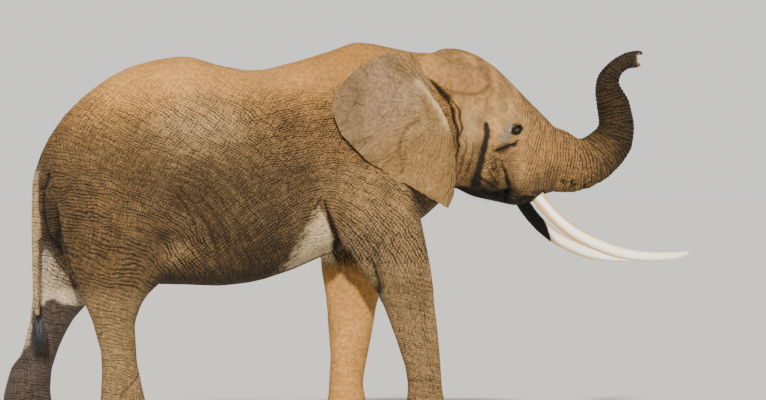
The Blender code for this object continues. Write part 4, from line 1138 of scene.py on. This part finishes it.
def ivory_material():
    s = Shader("ivory")
    lie = s.attribute("lie")
    part = s.split(lie)
    place = s.place()
    streaks = s.noise(lie, 5.0, 4.0, 0.6)
    cloud = s.noise(place, 9.0, 3.0)
    colour = s.mix(s.ramp(cloud, 0.35, 0.75), (0.98, 0.96, 0.88), (0.96, 0.88, 0.68))
    colour = s.mix(s.sum("MULTIPLY", s.ramp(streaks, 0.55, 0.80), 0.5), colour, (0.55, 0.38, 0.18))
    edge = s.sum("ADD", part[0], s.swing(streaks, 0.25))
    colour = s.mix(s.ramp(edge, 0.06, 0.70, 0.75, 0.0), colour, (0.62, 0.40, 0.16))
    # painted shade: the tusk darkens to yellow-brown towards its upper and lower sides
    rim = s.ramp(s.sum("ABSOLUTE", part[2]), 0.45, 1.0, 0.0, 0.85)
    colour = s.mix(rim, colour, (0.66, 0.38, 0.11))
    # near-black root: a stain, and on the left tusk painted shadow from the head
    stain_and_shadow = s.sum("ADD", s.split(s.attribute("stain_and_shadow"))[0], s.swing(cloud, 0.06))
    colour = s.mix(s.ramp(stain_and_shadow, 0.0, 0.02, 0.0, 1.0), colour, (0.004, 0.003, 0.002))
    tip = s.ramp(part[0], 6.4, 7.0, 0.0, 0.35)
    colour = s.mix(tip, colour, (0.66, 0.54, 0.36))
    cracks = s.ramp(s.noise(lie, 8.0, 5.0, 0.7), 0.60, 0.75)
    normal = s.bump(cracks, -0.0012)
    normal = s.bump(s.noise(place, 25.0, 2.0), 0.0020, 0.5, under=normal)
    return s.finish(colour, normal, s.ramp(stain_and_shadow, 0.0, 0.02, 0.30, 0.85), Specular_IOR_Level=0.35)


TUSK_SLOTS = 40  # the tusk's middle line is found in this many steps
# The right tusk's dark root is a stain; the left one's reaches further as painted shadow from the head.
TUSK_STAIN_AND_SHADOW = {"right": 1.44, "left": 1.735}  # the X up to which the tusk's root is dark


def tusk(side):
    mesh, net = even_copy(f"tusk_{side}", f"ivory_{side}", 0.006, 20)
    low, high = net.places.min(axis=0), net.places.max(axis=0)
    along = (net.places[:, 0] - low[0]) / (high[0] - low[0])
    slots = np.clip((along * TUSK_SLOTS).astype(int), 0, TUSK_SLOTS - 1)
    share = np.maximum(np.bincount(slots, minlength=TUSK_SLOTS), 1)
    stations = np.arange(TUSK_SLOTS) + 0.5
    middle = [np.bincount(slots, net.places[:, k], TUSK_SLOTS) / share for k in (1, 2)]
    middle = [np.interp(along * TUSK_SLOTS, stations, values) for values in middle]
    across, above = (net.places[:, 1] - middle[0]) / 0.05, (net.places[:, 2] - middle[1]) / 0.05
    outer = across if side == "left" else -across
    # the dark root is stain and painted shadow, reaching less far on the tusk's outer side
    stain_and_shadow = TUSK_STAIN_AND_SHADOW[side] - net.places[:, 0] - 0.025 * above - 0.26 * rise(outer, 0.0, 0.9)
    stored_vectors(mesh, "lie", np.stack([along * 7, across, above], axis=1))
    stored_vectors(mesh, "stain_and_shadow", np.stack([stain_and_shadow, 0 * stain_and_shadow, 0 * stain_and_shadow], axis=1))
    mesh.materials.append(IVORY)
    made = shown(f"ivory_{side}", mesh)
    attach(made, "root")
    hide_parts(f"tusk_{side}")


IVORY = ivory_material()
for side, _ in SIDES:
    tusk(side)


def nail_material():
    s = Shader("nail_horn")
    place = s.place()
    stretched = s.node("Mapping", place, None, None, (40.0, 40.0, 6.0))
    growth = s.noise(stretched, 1.0, 4.0, 0.6)
    cloud = s.noise(place, 12.0, 3.0)
    colour = s.mix(growth, (0.09, 0.058, 0.030), (0.34, 0.22, 0.115))
    colour = s.mix(s.ramp(cloud, 0.4, 0.7, 0.0, 0.5), colour, (0.17, 0.115, 0.062))
    normal = s.bump(growth, 0.0015)
    return s.finish(colour, normal, 0.55)


NAIL_MATERIAL = nail_material()
for node in (n for n in PARTS if n.startswith("nail_")):
    mesh, _ = even_copy(node, node.replace("nail", "horn"), 0.0045, 6)
    mesh.materials.append(NAIL_MATERIAL)
    made = shown(node.replace("nail", "horn"), mesh)
    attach(made, "root")
    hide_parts(node)


# ---------------------------------------------------------------- hair

def hair_material():
    s = Shader("elephant_hair")
    shine = s.noise(s.place(), 30.0, 2.0)
    colour = s.mix(shine, (0.008, 0.009, 0.012), (0.030, 0.032, 0.040))
    return s.finish(colour, None, 0.38)


HAIR_PATCH = 0.003  # the width of a hair's patch on the map


def hairs(name, roots, ways, lengths, width, droop=0.5, bend=0.12, steps=6, seed=3):
    """Tapered solid hairs: each leaves its root along its way and droops."""
    chance = np.random.default_rng(seed)
    count = len(roots)
    ways = ways / np.linalg.norm(ways, axis=1, keepdims=True)
    lean = chance.normal(0, 1, (count, 3)) * bend
    at = roots.copy()
    rows, now = [], ways.copy()
    side = np.cross(ways, chance.normal(0, 1, (count, 3)))
    side /= np.linalg.norm(side, axis=1, keepdims=True)
    for step in range(steps + 1):
        part = step / steps
        other = np.cross(now, side)
        thick = width * (1 - 0.85 * part)
        for corner in range(3):
            angle = 2 * math.pi * corner / 3
            rows.append(at + thick * (math.cos(angle) * side + math.sin(angle) * other))
        now = now + lean * part + np.array([0, 0, -droop]) * part
        now /= np.linalg.norm(now, axis=1, keepdims=True)
        at = at + now * (lengths / steps)[:, None]
    places = np.stack(rows, axis=1).reshape(-1, 3)
    ring = 3 * (steps + 1)
    faces = []
    for step in range(steps):
        for corner in range(3):
            a, b = 3 * step + corner, 3 * step + (corner + 1) % 3
            faces.append((a, b, b + 3, a + 3))
    base = np.arange(count) * ring
    quads = (base[:, None, None] + np.array(faces)[None]).reshape(-1, 4)
    ends = np.concatenate([base[:, None] + (2, 1, 0), base[:, None] + (ring - 3, ring - 2, ring - 1)])
    mesh = bpy.data.meshes.new(name)
    mesh.from_pydata(places.tolist(), [], quads.tolist() + ends.tolist())
    smooth_shaded(mesh)
    root_of = nearest_on_hide(roots)
    corners = column(mesh.loops, "vertex_index", np.int32)
    hair_of, of_hair = corners // ring, corners % ring
    across = np.stack([(of_hair % 3) / 2, (of_hair // 3) / steps], axis=1) - 0.5
    spread = hide_map[root_of][hair_of] + HAIR_PATCH * across
    filled(mesh.uv_layers.new(name="OFBake"), "uv", spread)
    mesh.materials.append(HAIR_MATERIAL)
    made = shown(name, mesh)
    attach(made, "root")
    return made


def nearest_on_hide(places):
    """The hide's vertex nearest to each place."""
    tree = KDTree(net.count)
    for number, place in enumerate(net.places.tolist()):
        tree.insert(place, number)
    tree.balance()
    return np.array([tree.find(place)[1] for place in places.tolist()])


TUFT_HAIRS, BRISTLES = 520, 150
HAIR_MATERIAL = hair_material()
chance = np.random.default_rng(11)
tassel_low, tassel_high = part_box("tail_tassel")
tail_end = np.array((*((tassel_low + tassel_high) / 2)[:2], tassel_high[2]))
count = TUFT_HAIRS
turn = chance.uniform(0, 2 * math.pi, count)
spread = np.sqrt(chance.uniform(0, 1, count))
aside, across = spread * np.cos(turn), spread * np.sin(turn)
roots = tail_end + np.stack([0.020 * aside, 0.016 * across, chance.uniform(-0.05, 0.03, count)], axis=1)
ways = np.stack([0.35 * aside, 0.3 * across, -np.ones(count)], axis=1)
reach = (roots[:, 2] - tassel_low[2]) * chance.uniform(0.65, 0.98, count)
tuft = hairs("tail_tuft", roots, ways, reach, 0.0016, droop=0.9, bend=0.05)
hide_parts("tail_tassel")

# Side of the eye, height of its lid, how far the lashes droop, which of them are there, and how long they are
LIDS = ((1, OPENING_HIGH, -0.25, 1, 0.030), (-1, OPENING_LOW, -0.55, 2, 0.016))
lashes = []
for side, _ in SIDES:
    middle, out, ahead, upward = gaze[side]
    part = np.linspace(-0.96, 0.96, 44)
    for lid, height, drop, every, long in LIDS:
        share = part[::every]
        aside = OPENING_WIDE * share
        above = lid * height * np.sqrt(1 - share**2) * 0.98 + LID_SLANT * aside
        deep_in = np.sqrt((EYE_RADIUS + 0.006) ** 2 - aside**2 - above**2)
        rows = [middle + a * ahead + c * upward + d * out for a, c, d in zip(aside, above, deep_in)]
        turn = [out + 0.8 * s * ahead + (0.35 * lid + drop) * upward for s in share]
        lashes.append((np.array(rows), np.array(turn), np.full(len(share), long)))
hairs("eyelashes", *(np.concatenate(column) for column in zip(*lashes)), 0.0005, bend=0.08, steps=4, seed=5)

chin = np.flatnonzero((head > 0.6) & (z < 1.98) & (normals[:, 2] < -0.35) & (head_x > 0.95) & (head_x < 1.5))
chin = chance.choice(chin, BRISTLES, replace=False)
ways = normals[chin] + chance.normal(0, 0.25, (BRISTLES, 3)) + (0.3, 0, 0)
hairs("chin_bristles", net.places[chin], ways, chance.uniform(0.02, 0.06, BRISTLES), 0.0006, droop=0.3)

# ---------------------------------------------------------------- stage

FLOOR_REACH = 3000
HORIZON_LIGHT, SKY_LIGHT = 1.03, 0.47
SKY_START, SKY_END = 0.08, 0.22  # how steeply up the horizon's light starts to change, and is the sky's
SUN_WAY = Vector((-0.14, -1.0, 0.42))

corners = [(a * FLOOR_REACH, b * FLOOR_REACH, 0) for a, b in ((-1, -1), (1, -1), (1, 1), (-1, 1))]
floor = shown("floor", mesh_of("floor", corners, [(0, 1, 2, 3)]))
shade = Shader("pale_floor")
floor.data.materials.append(shade.finish((0.82, 0.82, 0.81, 1.0), None, 0.9))


def studio_world():
    """A soft, even sky that pales to the floor's tone at the horizon."""
    world = bpy.data.worlds.new("studio")
    world.use_nodes = True
    tree = world.node_tree
    way = tree.nodes.new("ShaderNodeTexCoord")
    split = tree.nodes.new("ShaderNodeSeparateXYZ")
    upward = tree.nodes.new("ShaderNodeMapRange")
    upward.interpolation_type = "SMOOTHSTEP"
    for slot, number in zip((1, 2, 3, 4), (SKY_START, SKY_END, HORIZON_LIGHT, SKY_LIGHT)):
        upward.inputs[slot].default_value = number
    tree.links.new(way.outputs["Generated"], split.inputs[0])
    tree.links.new(split.outputs[2], upward.inputs[0])
    tree.links.new(upward.outputs[0], tree.nodes["Background"].inputs["Strength"])
    tree.nodes["Background"].inputs["Color"].default_value = (1.0, 0.985, 0.96, 1.0)
    return world


bpy.context.scene.world = studio_world()

sun = bpy.data.lights.new("key", "SUN")
sun.energy, sun.angle, sun.color = 6.9, math.radians(3), (1.0, 0.93, 0.82)
key = bpy.data.objects.new("key", sun)
bpy.context.scene.collection.objects.link(key)
key.rotation_euler = SUN_WAY.to_track_quat("Z", "Y").to_euler()

camera = bpy.data.objects.new("camera", bpy.data.cameras.new("camera"))
bpy.context.scene.collection.objects.link(camera)
camera.data.lens, camera.data.sensor_width = CAMERA_LENS, 36.0
camera.data.clip_end = 2 * FLOOR_REACH
back = Vector((math.sin(CAMERA_WAY), -math.cos(CAMERA_WAY), 0))
camera.location = Vector(CAMERA_AIM) + back * CAMERA_FAR
camera.rotation_euler = back.to_track_quat("Z", "Y").to_euler()
bpy.context.scene.camera = camera
